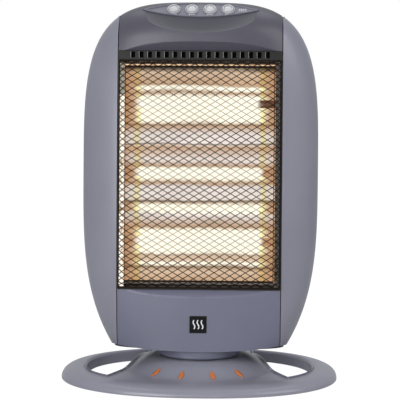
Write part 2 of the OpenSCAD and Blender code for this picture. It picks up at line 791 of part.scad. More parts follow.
module arm_screws() color("silver") for (a = [0:90:270]) rotate(a) translate([post_radius - 1.6, 0, 0]) {
    translate([0, 0, post_top - 5]) cylinder(h = arm_top - post_top + 5.1, r = 0.75, $fn = 16);
    translate([0, 0, arm_top]) cylinder(h = 0.8, r = 1.3, $fn = 16);
}

// Swing drive inside the body ------------------------------------------------

module above_floor() difference() {
    children();
    in_body() box([-far, -far, -far], [far, far, floor_top]);
}

module motor_ears() for (s = [-1, 1]) translate([motor_x, s * bracket_y, 0]) children();

module motor_bracket() color("silver") difference() {
    above_floor() {
        translate([motor_x - bracket_width / 2, -bracket_y - 6, bracket_z])
            cube([bracket_width, 2 * bracket_y + 12, motor_z - bracket_z]);
        motor_ears() translate([0, 0, body_foot_z - 10])
            cylinder(h = bracket_z - body_foot_z + 10.5, r = 4.5);
    }
    translate([motor_x, 0, 0]) cylinder(h = far, r = 9);
    motor_ears() translate([0, 0, bracket_z - 8]) cylinder(h = far, r = 1.6);
}

module swing_motor() color([0.75, 0.75, 0.72]) difference() {
    union() {
        translate([motor_x, 0, motor_z]) cylinder(h = motor_height, r = motor_radius);
        translate([motor_x, 0, bracket_z + 0.3]) cylinder(h = 3, r = 8);
        motor_ears() translate([0, 0, motor_z]) cylinder(h = 1.5, r = 5);
        translate([motor_x - 4, -bracket_y, motor_z]) cube([8, 2 * bracket_y, 1.5]);
    }
    translate([motor_x, 0, 0]) cylinder(h = motor_z + 6, r = 3 + running);
    motor_ears() cylinder(h = far, r = 1.6);
}

module motor_screws() color("silver") motor_ears() translate([0, 0, motor_z + 1.5]) screw(8, 1.5, 2.8, 1.8);

module crank() color([0.9, 0.9, 0.9]) {
    translate([motor_x, 0, crank_bottom]) cylinder(h = motor_z + 5 - crank_bottom, r = 3);
    translate([motor_x, 0, crank_bottom]) cylinder(h = crank_top - crank_bottom, r = 9);
    translate([motor_x - 5, -crank_throw, crank_bottom]) cube([10, crank_throw, crank_top - crank_bottom]);
    translate([motor_x, -crank_throw, crank_bottom]) cylinder(h = crank_top - crank_bottom, r = eye_radius);
    translate([motor_x, -crank_throw, link_bottom - 0.6])
        cylinder(h = crank_bottom - link_bottom + 1, r = 2.4);
    translate([motor_x, -crank_throw, link_bottom - 1.8]) cylinder(h = 1.4, r = 3.8);
}

module drive_link() color([0.9, 0.9, 0.9]) {
    span = [motor_x, arm_reach - crank_throw];
    translate([0, -arm_reach, link_bottom]) rotate(atan2(span.y, span.x)) difference() {
        union() {
            for (x = [0, norm(span)]) translate([x, 0, 0])
                cylinder(h = link_top - link_bottom, r = eye_radius);
            translate([0, -link_half, 0]) cube([norm(span), 2 * link_half, link_top - link_bottom]);
        }
        translate([0, 0, -1]) cylinder(h = 10, r = 3 + running);
        translate([norm(span), 0, -1]) cylinder(h = 10, r = 2.4 + running);
    }
}

// Controls ---------------------------------------------------------------------

module control_plate() color(plastic) in_body() on_panel() difference() {
    translate([0, 0, -panel_depth]) linear_extrude(panel_depth) lens(2 * panel_half_width, panel_length);
    translate([0, 0, -panel_depth - 1]) linear_extrude(panel_depth - 2)
        lens(2 * panel_half_width - 30, panel_length - 2 * skirt - 1);
    translate([0, 0, -1]) linear_extrude(2) lens(2 * panel_half_width - 10, panel_length - 2.5);
    for (x = button_xs) translate([x, 0, -far / 2]) cylinder(h = far, r = button_radius + running);
}

module button_collars() color("silver") in_body() on_panel() for (x = button_xs)
    translate([x, 0, -1]) tube(2.2, button_radius + collar_width, button_radius + running);

module button(k) color([0.8, 0.8, 0.82]) in_body() on_panel() translate([button_xs[k - 1], 0, 0]) {
    difference() {
        translate([0, 0, -3]) cylinder(h = button_height + 3, r = button_radius);
        translate([0, 0, button_height + 18.6]) sphere(r = 20, $fn = 96);
    }
    translate([0, 0, switch_face - 1.5]) cylinder(h = -switch_face, r = 2.5);
}

module button_1() button(1);
module button_2() button(2);
module button_3() button(3);
module button_4() button(4);

module button_spring(k) color("silver") in_body() on_panel() translate([button_xs[k - 1], 0, switch_face])
    spring(4.6, -3 - switch_face, 3);

module button_spring_1() button_spring(1);
module button_spring_2() button_spring(2);
module button_spring_3() button_spring(3);
module button_spring_4() button_spring(4);

module switch_block() color([0.12, 0.12, 0.14]) in_body() on_panel() difference() {
    union() {
        translate([-2 * button_pitch, -7, switch_face - 14]) cube([4 * button_pitch, 14, 14]);
        translate([-panel_half_width + 8, -3, switch_face]) cube([2 * panel_half_width - 16, 6, 2]);
    }
    for (x = button_xs) {
        translate([x, 0, switch_face]) cylinder(h = 10, r = 5.6);
        translate([x, 0, switch_face - 1.5 - button_travel - 1]) cylinder(h = 30, r = 2.5 + running);
    }
    for (s = [-1, 1]) translate([s * (panel_half_width - 12), 0, switch_face - 20]) cylinder(h = 40, r = 1.6);
}

module switch_screws() color("silver") in_body() on_panel() for (s = [-1, 1])
    translate([s * (panel_half_width - 12), 0, switch_face]) rotate([180, 0, 0]) screw(1.9, 1.4, 2.6, 1.6);

// Rear and wiring --------------------------------------------------------------

module housing_screws() color("silver") rear_screw_places()
    translate([0, 0, housing_seat]) screw(housing_screw_length, 1.6, 3.8, 2.4);

module handle_cup() color([0.2, 0.2, 0.22]) in_body() difference() {
    back = back_reach * shoulder(handle_z) - 2.5;
    box([-handle_half_width, back - handle_depth, handle_z - handle_half_height],
        [handle_half_width, back, handle_z + handle_half_height]);
    box([-handle_half_width + 2, back - handle_depth + 2, handle_z - handle_half_height + 2],
        [handle_half_width - 2, far, handle_z + handle_half_height - 2]);
}

module terminal_block() color([0.9, 0.9, 0.85]) in_body() difference() {
    box([gland_x - 16, 14, floor_top], [gland_x + 16, 28, floor_top + 12]);
    for (k = [-1:1]) translate([gland_x + 10 * k, 21, floor_top + 4]) cylinder(h = 20, r = 2.5);
}

module cord_gland() color([0.1, 0.1, 0.1]) in_body()
    translate([gland_x, gland_face - 9, gland_z]) rotate([-90, 0, 0]) difference() {
        union() {
            translate([0, 0, -4]) cylinder(h = 4, r = 10, $fn = 6);
            translate([0, 0, -4]) cylinder(h = 16, r = 7);
            translate([0, 0, 9]) cylinder(h = 3, r = 10);
        }
        translate([0, 0, -10]) cylinder(h = 40, r = cable_radius);
    }

// The loom climbs beside the left frame rail, from the terminal block to the switch block.
loom_route = [[-60, 21, 19], [-60, 22, 26], [-64, 24, 36], [-72, 25, 50], [-80, 24, 66], [-86, 20, 90],
    [-88, 14, 130], [-88, 12, 180], [-88, 12, 240], [-88, 12, window_top - 72],
    [-84, 13, window_top - 32], [-76, 12, window_top - 6], [-62, 8, window_top + 12],
    [-50, 2, window_top + 24], [-40, -6, window_top + 30]];

module wiring_loom() color([0.15, 0.15, 0.15]) in_body() sweep(loom_route, 2.5, 8);

base_shell();
base_cover();
base_cover_screws();
rubber_feet();
leaf_inlays();
glide_ring();
swivel_post();
post_screws();
retaining_ring();
drive_arm();
arm_screws();
tip_switch();
tip_plunger();
tip_spring();
turntable();
turntable_screws();
floor_plate();
frame_rail_left();
frame_rail_right();
rear_shell();
side_panel_left();
side_panel_right();
upper_cover();
lower_cover();
badge_plate();
window_frame();
guard_mesh();
reflector();
end_plate_left();
end_plate_right();
lamp_upper();
lamp_middle();
lamp_lower();
filaments();
lamp_caps();
lamp_clips();
heat_shield();
thermal_cutout();
control_plate();
button_collars();
switch_block();
switch_screws();
button_1();
button_2();
button_3();
button_4();
button_spring_1();
button_spring_2();
button_spring_3();
button_spring_4();
swing_motor();
motor_bracket();
motor_screws();
crank();
drive_link();
housing_screws();
handle_cup();
terminal_block();
cord_gland();
wiring_loom();
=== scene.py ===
"""Looks of a free-standing halogen heater: finishes, fine shapes, lit lamps, camera and light."""

from math import asin, ceil, copysign, cos, hypot, pi, radians, sin, sqrt, tan

import bpy
import numpy as np
from mathutils import Matrix, Vector


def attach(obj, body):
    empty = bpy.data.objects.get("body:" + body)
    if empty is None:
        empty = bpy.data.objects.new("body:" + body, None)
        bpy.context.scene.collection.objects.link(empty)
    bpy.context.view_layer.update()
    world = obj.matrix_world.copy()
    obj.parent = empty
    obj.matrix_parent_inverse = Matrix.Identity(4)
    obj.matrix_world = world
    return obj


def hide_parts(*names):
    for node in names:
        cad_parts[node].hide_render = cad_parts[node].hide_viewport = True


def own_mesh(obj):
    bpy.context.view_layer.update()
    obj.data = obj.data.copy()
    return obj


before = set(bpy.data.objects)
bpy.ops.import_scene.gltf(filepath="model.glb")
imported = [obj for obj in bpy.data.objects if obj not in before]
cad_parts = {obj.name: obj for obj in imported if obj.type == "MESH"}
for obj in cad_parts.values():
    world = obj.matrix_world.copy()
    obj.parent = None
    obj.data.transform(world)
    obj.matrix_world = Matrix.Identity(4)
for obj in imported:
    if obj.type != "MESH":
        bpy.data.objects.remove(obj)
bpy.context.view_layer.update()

# Sizes, in metres, most of them as the construction has them ----

MM = 0.001
LEAN = radians(5)
FOOT_Z = 37.5 * MM
BODY_W = 149 * MM
FOOT_W = 108 * MM
BODY_H = 438 * MM
WIDEST_Z = 228 * MM
FRONT = 62 * MM
FRONT_DRAW = 6 * MM
BACK = 50 * MM
SHOULDER = 50 * MM
PLAN_POWER = 2.6
TOP_POWER = 3.6
SHOULDER_POWER = 2.2
FOOT_POWER = 3.5
OVAL_POWER = 2.25
WALL = 2.5 * MM
GAP = 0.4 * MM
SEAM_ROOM = 0.7 * MM
PART_Y = 8 * MM
REAR_FOOT = 5 * MM
FOOT_RISE = 6 * MM
SEAM_X = 102.5 * MM
COVER_HALF = SEAM_X - GAP / 2 - SEAM_ROOM
WINDOW_LOW = 76.7 * MM
WINDOW_TOP = 374 * MM
WINDOW_FACE = 50 * MM
LEDGE_FRONT = WINDOW_FACE + 1.6 * MM
LEDGE_DEPTH = 12 * MM
VENT_LOW = WINDOW_TOP - 10 * MM
VENTS = 17
VENT_PITCH = 10.45 * MM
VENT_WIDTH = 5.4 * MM

PANEL_Y = -36 * MM
PANEL_Z = BODY_H - 11.7 * MM
PANEL_TILT = radians(47)
PANEL_HALF = 73 * MM
PANEL_LENGTH = 28 * MM
PANEL_DEPTH = 10 * MM
SCOOP_HALF = PANEL_HALF - 4 * MM
SCOOP_TOP = PANEL_Z - 8 * MM
SCOOP_DROP = 23 * MM
SCOOP_LIP = 2 * MM
SCOOP_POWER = 0.85
BUTTONS = 4
BUTTON_R = 6.9 * MM
BUTTON_HOLE = BUTTON_R + 0.3 * MM
COLLAR = 1.5 * MM
BUTTON_PITCH = 22.6 * MM
BUTTON_HIGH = 3.2 * MM
STEM_R = 2.5 * MM
CAP_FOOT = -3 * MM
SWITCH_FACE = -PANEL_DEPTH - 2 * MM
STEM_END = SWITCH_FACE - 1.5 * MM
SPRING_R = 4.6 * MM
SPRING_WIRE = 0.5 * MM
BADGE_Z = 34.5 * MM

REFLECTOR_MID = 222.5 * MM
REFLECTOR_HALF = 136.5 * MM
RIDGE_OFFSET = 36 * MM
RIDGE_Y = -38 * MM
TROUGH_Y = -4 * MM
TROUGH_POWER = 2.4
TUNNEL_OUT = SEAM_X - GAP - 1.4 * MM
TUNNEL_IN = TUNNEL_OUT - 1.6 * MM
SHEET = 1.2 * MM

GUARD_DEPTH = 9 * MM
GUARD_EDGE = 8 * MM
GUARD_LOW = WINDOW_LOW + 2 * MM
GUARD_HIGH = VENT_LOW - 1.5 * MM
RIM_BAR = 2.4 * MM
CELL_W = 12.9 * MM
CELL_H = 7.8 * MM
STRAND = 1.15 * MM
STRAND_DEPTH = 0.6 * MM

BASE_A = 175 * MM
BASE_B = 131 * MM
INNER_A = 147 * MM
INNER_B = 103 * MM
RIM_Z = 14 * MM
RING_POWER = 2.4
RING_EDGE = 2.2 * MM
FEET = 1.5 * MM
HUB_Z = 30 * MM
HUB_R = 54 * MM
FLARE_R = 100 * MM
BASE_SKIN = 2.4 * MM
LEAF_RING = 85 * MM
LEAF_LENGTH = 14.5 * MM
LEAF_WIDTH = 6 * MM
LEAF_ANGLES = (-37, -13, 13, 37)
BRIDGE_HALF = 81 * MM
BRIDGE_TAPER = 0.3
BRIDGE_BOW = 0.114 / BRIDGE_HALF

BODY_FRAME = Matrix.Translation((0, 0, FOOT_Z)) @ Matrix.Rotation(-LEAN, 4, "X")
PANEL_FRAME = (
    BODY_FRAME
    @ Matrix.Translation((0, PANEL_Y, PANEL_Z))
    @ Matrix.Rotation(pi / 2 - PANEL_TILT, 4, "X")
)
BASE_FRAME = Matrix.Identity(4)

# Where the cutters end, clear of the body
FAR_OUT = 60 * MM
FAR_BACK = 100 * MM
# Edges sharper than these, in degrees, are rounded or kept sharp in the shading
EDGE_ANGLE = 40
MOULDING_ANGLE = 32
BASE_ANGLE = 50


# Camera ----

CAMERA_DISTANCE = 2.0
CAMERA_HEIGHT = 0.4435
CAMERA_AZIMUTH = radians(1.75)
CAMERA_PITCH = radians(6.2)
CAMERA_ROLL = radians(-0.3)
FOCAL_PX = 1592.7
FRAME_PX = 400.0
SENSOR_MM = 36.0


def add_camera():
    data = bpy.data.cameras.new("view")
    data.sensor_width = SENSOR_MM
    data.sensor_fit = "HORIZONTAL"
    data.lens = FOCAL_PX / FRAME_PX * SENSOR_MM
    data.clip_end = 100
    camera = add_object("view", data)
    x, y = CAMERA_DISTANCE * sin(CAMERA_AZIMUTH), -CAMERA_DISTANCE * cos(CAMERA_AZIMUTH)
    place = Matrix.Translation((x, y, CAMERA_HEIGHT))
    turn = (
        Matrix.Rotation(CAMERA_AZIMUTH, 4, "Z")
        @ Matrix.Rotation(pi / 2 - CAMERA_PITCH, 4, "X")
        @ Matrix.Rotation(-CAMERA_ROLL, 4, "Z")
    )
    camera.matrix_world = place @ turn
    bpy.context.scene.camera = camera


# Small helpers ----


def add_object(name, data):
    thing = bpy.data.objects.new(name, data)
    bpy.context.scene.collection.objects.link(thing)
    return thing


def to_row(points, matrix=BODY_FRAME):
    """Points of a local frame as row-frame points."""
    p = np.asarray(points, float)
    m = np.array(matrix)
    return p @ m[:3, :3].T + m[:3, 3]


def shade_smooth(mesh):
    mesh.polygons.foreach_set("use_smooth", [True] * len(mesh.polygons))


def new_piece(name, verts, faces, matrix):
    """An object from points of a local frame."""
    mesh = bpy.data.meshes.new(name)
    mesh.from_pydata(to_row(verts, matrix).tolist(), [], [tuple(int(i) for i in f) for f in faces])
    mesh.validate()
    mesh.update()
    return add_object(name, mesh)


def add_mesh(name, verts, faces, finish, body, slot, replaces=(), matrix=BODY_FRAME, smooth=True):
    """A piece that rides on a body."""
    piece = new_piece(name, verts, faces, matrix)
    piece.data.materials.append(M[finish])
    if smooth:
        shade_smooth(piece.data)
    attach(piece, body)
    if replaces:
        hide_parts(*replaces)
    return piece


def add_trim(name, part, finish, slot, replaces=(), matrix=BODY_FRAME):
    """A flat-faced piece of the head."""
    add_mesh(name, *part, finish, "head", slot, replaces, matrix, smooth=False)


def grid_faces(rows, cols, wrap=False, flip=False):
    """Quads of a grid of points, row by row."""
    faces = []
    for r in range(rows - 1):
        for c in range(cols if wrap else cols - 1):
            d = (c + 1) % cols
            quad = (r * cols + c, r * cols + d, (r + 1) * cols + d, (r + 1) * cols + c)
            faces.append(quad[::-1] if flip else quad)
    return faces


def solidify(piece, thickness):
    """Gives a sheet its wall, behind the face that shows."""
    wall = piece.modifiers.new("wall", "SOLIDIFY")
    wall.thickness = thickness
    wall.offset = -1


def round_edges(piece, width, segments=2):
    """Rounds the edges sharper than EDGE_ANGLE."""
    edge = piece.modifiers.new("edges", "BEVEL")
    edge.width = width
    edge.segments = segments
    edge.limit_method = "ANGLE"
    edge.angle_limit = radians(EDGE_ANGLE)


def smooth_by_angle(piece, degrees=EDGE_ANGLE):
    """Smooth shading that keeps the edges sharper than the angle."""
    shade_smooth(piece.data)
    piece.data.set_sharp_from_angle(angle=radians(degrees))


def soften(piece, width, segments=2):
    """The rounded edges and smooth faces of a moulding."""
    round_edges(piece, width, segments)
    smooth_by_angle(piece, MOULDING_ANGLE)


def skin(node, verts, faces, finish, matrix=BODY_FRAME):
    """The outer face of one of the head's mouldings, in place of its node."""
    return add_mesh(f"{node}_skin", verts, faces, finish, "head", "grey_plastic", [node], matrix)


def bake(piece):
    """Applies a piece's modifiers."""
    graph = bpy.context.evaluated_depsgraph_get()
    mesh = bpy.data.meshes.new_from_object(piece.evaluated_get(graph))
    old = piece.data
    piece.modifiers.clear()
    piece.data = mesh
    bpy.data.meshes.remove(old)


def cut(piece, parts, matrix=BODY_FRAME, folded=False):
    """Takes closed (verts, faces) parts out of the piece, whose wall may fold into itself."""
    tool = piece.modifiers.new("cut", "BOOLEAN")
    tool.operation = "DIFFERENCE"
    tool.solver = "EXACT"
    tool.use_self = folded
    tool.object = cutter = new_piece("cutter", *merge(parts), matrix)
    bake(piece)
    bpy.data.objects.remove(cutter)


def thicken(piece, thickness=WALL):
    """Gives a sheet its wall, for good."""
    solidify(piece, thickness)
    bake(piece)


def merge(parts):
    """Joins (verts, faces) parts into one."""
    verts, faces, start = [], [], 0
    for v, f in parts:
        v = np.asarray(v, float)
        verts.append(v)
        faces += [tuple(int(i) + start for i in face) for face in f]
        start += len(v)
    return np.vstack(verts), faces


def box_part(low, high):
    (x0, y0, z0), (x1, y1, z1) = low, high
    v = [(x, y, z) for z in (z0, z1) for y in (y0, y1) for x in (x0, x1)]
    f = [(0, 2, 3, 1), (4, 5, 7, 6), (0, 1, 5, 4), (2, 6, 7, 3), (0, 4, 6, 2), (1, 3, 7, 5)]
    return v, f


def prism_part(outline, low, high):
    """A straight prism over an anticlockwise outline in x and y."""
    n = len(outline)
    v = [(x, y, low) for x, y in outline] + [(x, y, high) for x, y in outline]
    f = [tuple(range(n))[::-1], tuple(range(n, 2 * n))]
    f += [(i, (i + 1) % n, n + (i + 1) % n, n + i) for i in range(n)]
    return v, f


def on_circle(k, steps):
    """Cosine and sine of the k-th of so many steps round a circle."""
    a = 2 * pi * k / steps
    return cos(a), sin(a)


def lathe_part(profile, steps=96, x=0, ring=False, solid=False):
    """A turned surface from (radius, z) points; a ring closes on itself, a solid on its axis."""
    turned = profile[1:-1] if solid else profile
    spots = [on_circle(k, steps) for k in range(steps)]
    verts = [(x + r * c, r * s, z) for r, z in turned for c, s in spots]
    faces = grid_faces(len(turned), steps, wrap=True)
    last = (len(turned) - 1) * steps
    if ring:
        faces += [(last + k, last + (k + 1) % steps, (k + 1) % steps, k) for k in range(steps)]
    if solid:
        low, high = len(verts), len(verts) + 1
        verts += [(x, 0, profile[0][1]), (x, 0, profile[-1][1])]
        faces += [(low, (k + 1) % steps, k) for k in range(steps)]
        faces += [(high, last + k, last + (k + 1) % steps) for k in range(steps)]
    return verts, faces


def arc(radius, start, end, steps=6):
    """Points of an arc about the origin, angles in degrees."""
    angles = [radians(start + (end - start) * k / steps) for k in range(steps + 1)]
    return [(radius * cos(a), radius * sin(a)) for a in angles]


# Materials ----


def srgb(r, g, b):
    """A colour as it shows on a screen, as linear values."""
    values = (c / 255 for c in (r, g, b))
    return tuple(((v + 0.055) / 1.055) ** 2.4 if v > 0.04 else v / 12.92 for v in values) + (1.0,)


def tint(colour, k):
    return tuple(min(1.0, c * k) for c in colour[:3]) + (1.0,)


def new_material(name):
    mat = bpy.data.materials.new(name)
    mat.use_nodes = True
    return mat, mat.node_tree, mat.node_tree.nodes["Principled BSDF"]


def feed(tree, node, inputs):
    """Sets a node's inputs, by name or number, each from a socket or a plain value."""
    for key, value in inputs.items():
        if isinstance(value, bpy.types.NodeSocket):
            tree.links.new(value, node.inputs[key])
        else:
            node.inputs[key].default_value = value


def add_node(tree, kind, inputs=None, **settings):
    """A shader node with its settings and inputs in place."""
    node = tree.nodes.new("ShaderNode" + kind)
    for key, value in settings.items():
        setattr(node, key, value)
    feed(tree, node, inputs or {})
    return node


def noise_node(tree, scale, rough=0.6, stretch=None):
    """Noise over the object, which may be stretched along its axes."""
    vector = add_node(tree, "TexCoord").outputs["Object"]
    if stretch:
        vector = add_node(tree, "Mapping", {"Vector": vector, "Scale": stretch}).outputs["Vector"]
    inputs = {"Vector": vector, "Scale": scale, "Detail": 3.0, "Roughness": rough}
    return add_node(tree, "TexNoise", inputs).outputs["Fac"]


def ramp_node(tree, source, stops):
    """Colours by place, from (place, colour) stops in order."""
    ramp = add_node(tree, "ValToRGB", {"Fac": source})
    elements = ramp.color_ramp.elements
    for end in (0, -1):
        elements[end].position, elements[end].color = stops[end]
    for place, colour in stops[1:-1]:
        elements.new(place).color = colour
    return ramp.outputs["Color"]


def drifting(tree, source, colour, spread):
    """A colour that a noise makes a little darker and lighter."""
    return ramp_node(tree, source, [(0.3, tint(colour, 1 - spread)), (0.7, tint(colour, 1 + spread))])


def range_node(tree, source, before, after=(0.0, 1.0), smooth=False):
    """A value taken from one range to another."""
    keys = ("From Min", "From Max", "To Min", "To Max")
    inputs = {"Value": source, **dict(zip(keys, (*before, *after)))}
    kind = "SMOOTHSTEP" if smooth else "LINEAR"
    return add_node(tree, "MapRange", inputs, interpolation_type=kind).outputs["Result"]


def mix_node(tree, share, first, second, blend="MIX"):
    node = add_node(tree, "Mix", data_type="RGBA", blend_type=blend)
    feed(tree, node, {0: share, 6: first, 7: second})
    return node.outputs[2]


def math_node(tree, operation, *inputs):
    return add_node(tree, "Math", dict(enumerate(inputs)), operation=operation).outputs[0]


def bump_node(tree, source, strength, distance):
    inputs = {"Height": source, "Strength": strength, "Distance": distance}
    return add_node(tree, "Bump", inputs).outputs["Normal"]


def moulded(name, colour, rough=0.4, grain=2600.0, depth=0.04 * MM, coat=0.0, spread=0.05, shine=0.5):
    """Moulded plastic: a fine spark-eroded grain, a slow drift of colour and an uneven sheen."""
    mat, tree, bsdf = new_material(name)
    drift = noise_node(tree, 9.0)
    fine = noise_node(tree, grain, 0.7)
    feed(tree, bsdf, {
        "Base Color": drifting(tree, drift, srgb(*colour), spread),
        "Roughness": range_node(tree, fine, (0.0, 1.0), (rough - 0.07, rough + 0.07)),
        "Normal": bump_node(tree, fine, 0.35, depth),
        "Specular IOR Level": shine,
    })
    if coat:
        feed(tree, bsdf, {"Coat Weight": coat, "Coat Roughness": 0.12})
    return mat


def metal(name, colour, rough):
    """Bare or plated metal with upright rolling marks."""
    mat, tree, bsdf = new_material(name)
    marks = noise_node(tree, 300.0, 0.5, (1, 1, 0.1))
    feed(tree, bsdf, {
        "Base Color": drifting(tree, marks, srgb(*colour), 0.08),
        "Metallic": 1.0,
        "Roughness": range_node(tree, marks, (0.0, 1.0), (rough - 0.06, rough + 0.06)),
        "Normal": bump_node(tree, marks, 0.15, 0.03 * MM),
    })
    return mat


def glow(tree, bsdf, light, strength, base, rough=0.35, metallic=1.0):
    """The light that a face gives off, over its plain finish."""
    feed(tree, bsdf, {
        "Emission Color": light,
        "Emission Strength": strength,
        "Base Color": base,
        "Roughness": rough,
        "Metallic": metallic,
    })


def body_coordinates(tree):
    """A point's X, Y and Z along the leaning body, in metres; Z is BODY_OFFSET at the body's foot."""
    coords = add_node(tree, "TexCoord").outputs["Object"]
    lean = add_node(tree, "Mapping", {"Vector": coords, "Rotation": (LEAN, 0, 0)})
    return add_node(tree, "SeparateXYZ", {"Vector": lean.outputs["Vector"]}).outputs


def glowing_sheet(name, low, high, stops, side_stops, lines):
    """Polished sheet with a painted reflection of the lit tubes: warm bands by height, copper-brown past the
    filaments.
    """
    mat, tree, bsdf = new_material(name)
    x, _, z = body_coordinates(tree)
    wave = noise_node(tree, 1.0, 0.5, WAVE_STRETCH)
    ripple = math_node(tree, "MULTIPLY_ADD", wave, RIPPLE, -RIPPLE / 2)
    height = math_node(tree, "ADD", z, ripple)
    place = range_node(tree, height, (low + BODY_OFFSET, high + BODY_OFFSET))
    across = math_node(tree, "ADD", math_node(tree, "ABSOLUTE", x), ripple)
    sides = math_node(tree, "MULTIPLY", across, 1 / TUNNEL_OUT)
    past_ends = range_node(tree, sides, PAST_ENDS, smooth=True)
    banded = mix_node(tree, past_ends, ramp_node(tree, place, stops), ramp_node(tree, place, side_stops))
    dimmed = mix_node(tree, 1.0, banded, ramp_node(tree, sides, SIDE_FADE), "MULTIPLY")
    uneven_reflection = range_node(tree, wave, (0.0, 1.0), REFLECTION_UNEVENNESS)
    strength = 1.0
    for centre, half, factor in lines:
        off = math_node(tree, "ABSOLUTE", math_node(tree, "SUBTRACT", height, centre + BODY_OFFSET))
        line = range_node(tree, off, (0.3 * half, half), (factor, 1.0), smooth=True)
        strength = math_node(tree, "MULTIPLY", line, strength)
    glow(tree, bsdf, mix_node(tree, 1.0, dimmed, uneven_reflection, "MULTIPLY"), strength, (0.12, 0.1, 0.085, 1))
    return mat


def lit_tube(name, colour, strength, end=(168, 124, 88), lit=0.875):
    """Frosted quartz, lit from inside as far as the filament reaches."""
    mat, tree, bsdf = new_material(name)
    along = range_node(tree, body_coordinates(tree)["X"], (-TUNNEL_OUT, TUNNEL_OUT))
    stops = [
        (0.0, srgb(150, 108, 72)),
        (0.08, srgb(182, 138, 100)),
        (0.125, colour),
        (lit, colour),
        (lit + 0.025, tint(srgb(*end), 1.2)),
        (1.0, srgb(*end)),
    ]
    glow(tree, bsdf, ramp_node(tree, along, stops), strength, (0.05, 0.035, 0.025, 1), 0.5, 0.0)
    return mat


def lit_lip(name, colour, dark, strength):
    """A strip of polished sheet with a painted reflection of the glow, which shows through the guard in
    blotches.
    """
    mat, tree, bsdf = new_material(name)
    stops = [(0.36, srgb(*dark)), (0.5, srgb(*colour))]
    light = ramp_node(tree, noise_node(tree, 160.0, 0.7), stops)
    glow(tree, bsdf, light, strength, tint(srgb(*dark), 0.5))
    return mat


def washed_wire(name):
    """Dark wire with painted glare: it glows pale where it crosses the brightest bands."""
    mat, tree, bsdf = new_material(name)
    x, _, z = body_coordinates(tree)
    height = range_node(tree, z, (GUARD_LOW + BODY_OFFSET, GUARD_HIGH + BODY_OFFSET))
    dark, pale = srgb(18, 10, 5), srgb(176, 170, 150)
    stops = [(0.0, dark)]
    for low, high in GLARE:
        for level, colour in ((low - 2.5, dark), (low + 1, pale), (high - 1, pale), (high + 2.5, dark)):
            stops.append(((level * MM - GUARD_LOW) / (GUARD_HIGH - GUARD_LOW), colour))
    stops.append((1.0, dark))
    past_ends = range_node(tree, math_node(tree, "ABSOLUTE", x), WASH_ENDS, smooth=True)
    light = mix_node(tree, past_ends, ramp_node(tree, height, stops), dark)
    glow(tree, bsdf, light, 1.0, srgb(16, 10, 6), 0.6, 0.0)
    feed(tree, bsdf, {"Specular IOR Level": 0.1})
    return mat


# What the body's height is at its foot, in the leaning coordinates of the materials
BODY_OFFSET = FOOT_Z * cos(LEAN)
# Heights in the guard, in millimetres, between which the painted glare from behind washes the strands out
GLARE = ((124, 151), (176, 183), (214.5, 228), (287, 316), (325.5, 330))
# How far from the middle the wire's pale parts end
WASH_ENDS = (72 * MM, 82 * MM)
# How far the painted reflection's bands wave up and down, how uneven its brightness is, and the waves'
# closeness
RIPPLE = 9 * MM
REFLECTION_UNEVENNESS = (0.74, 1.26)
WAVE_STRETCH = (12, 40, 40)
# Where the tones in front of the filaments turn into those past them, on the same scale as SIDE_FADE
PAST_ENDS = (0.75, 0.88)
# How the painted reflection darkens and warms from its middle, at 0, to the tunnel's walls, at 1
SIDE_FADE = (
    (0.0, (1, 1, 1, 1)),
    (0.74, (1, 1, 1, 1)),
    (0.785, (1, 0.97, 0.5, 1)),
    (0.84, (1, 0.98, 0.92, 1)),
    (0.9, (1, 0.96, 0.9, 1)),
    (0.95, (0.84, 0.7, 0.58, 1)),
    (1.0, (0.62, 0.46, 0.34, 1)),
)
QUARTZ_LIGHT = (1.0, 0.96, 0.84, 1.0)
# Depth of the grain on polished and painted faces, in metres
SLIGHT = 0.01 * MM

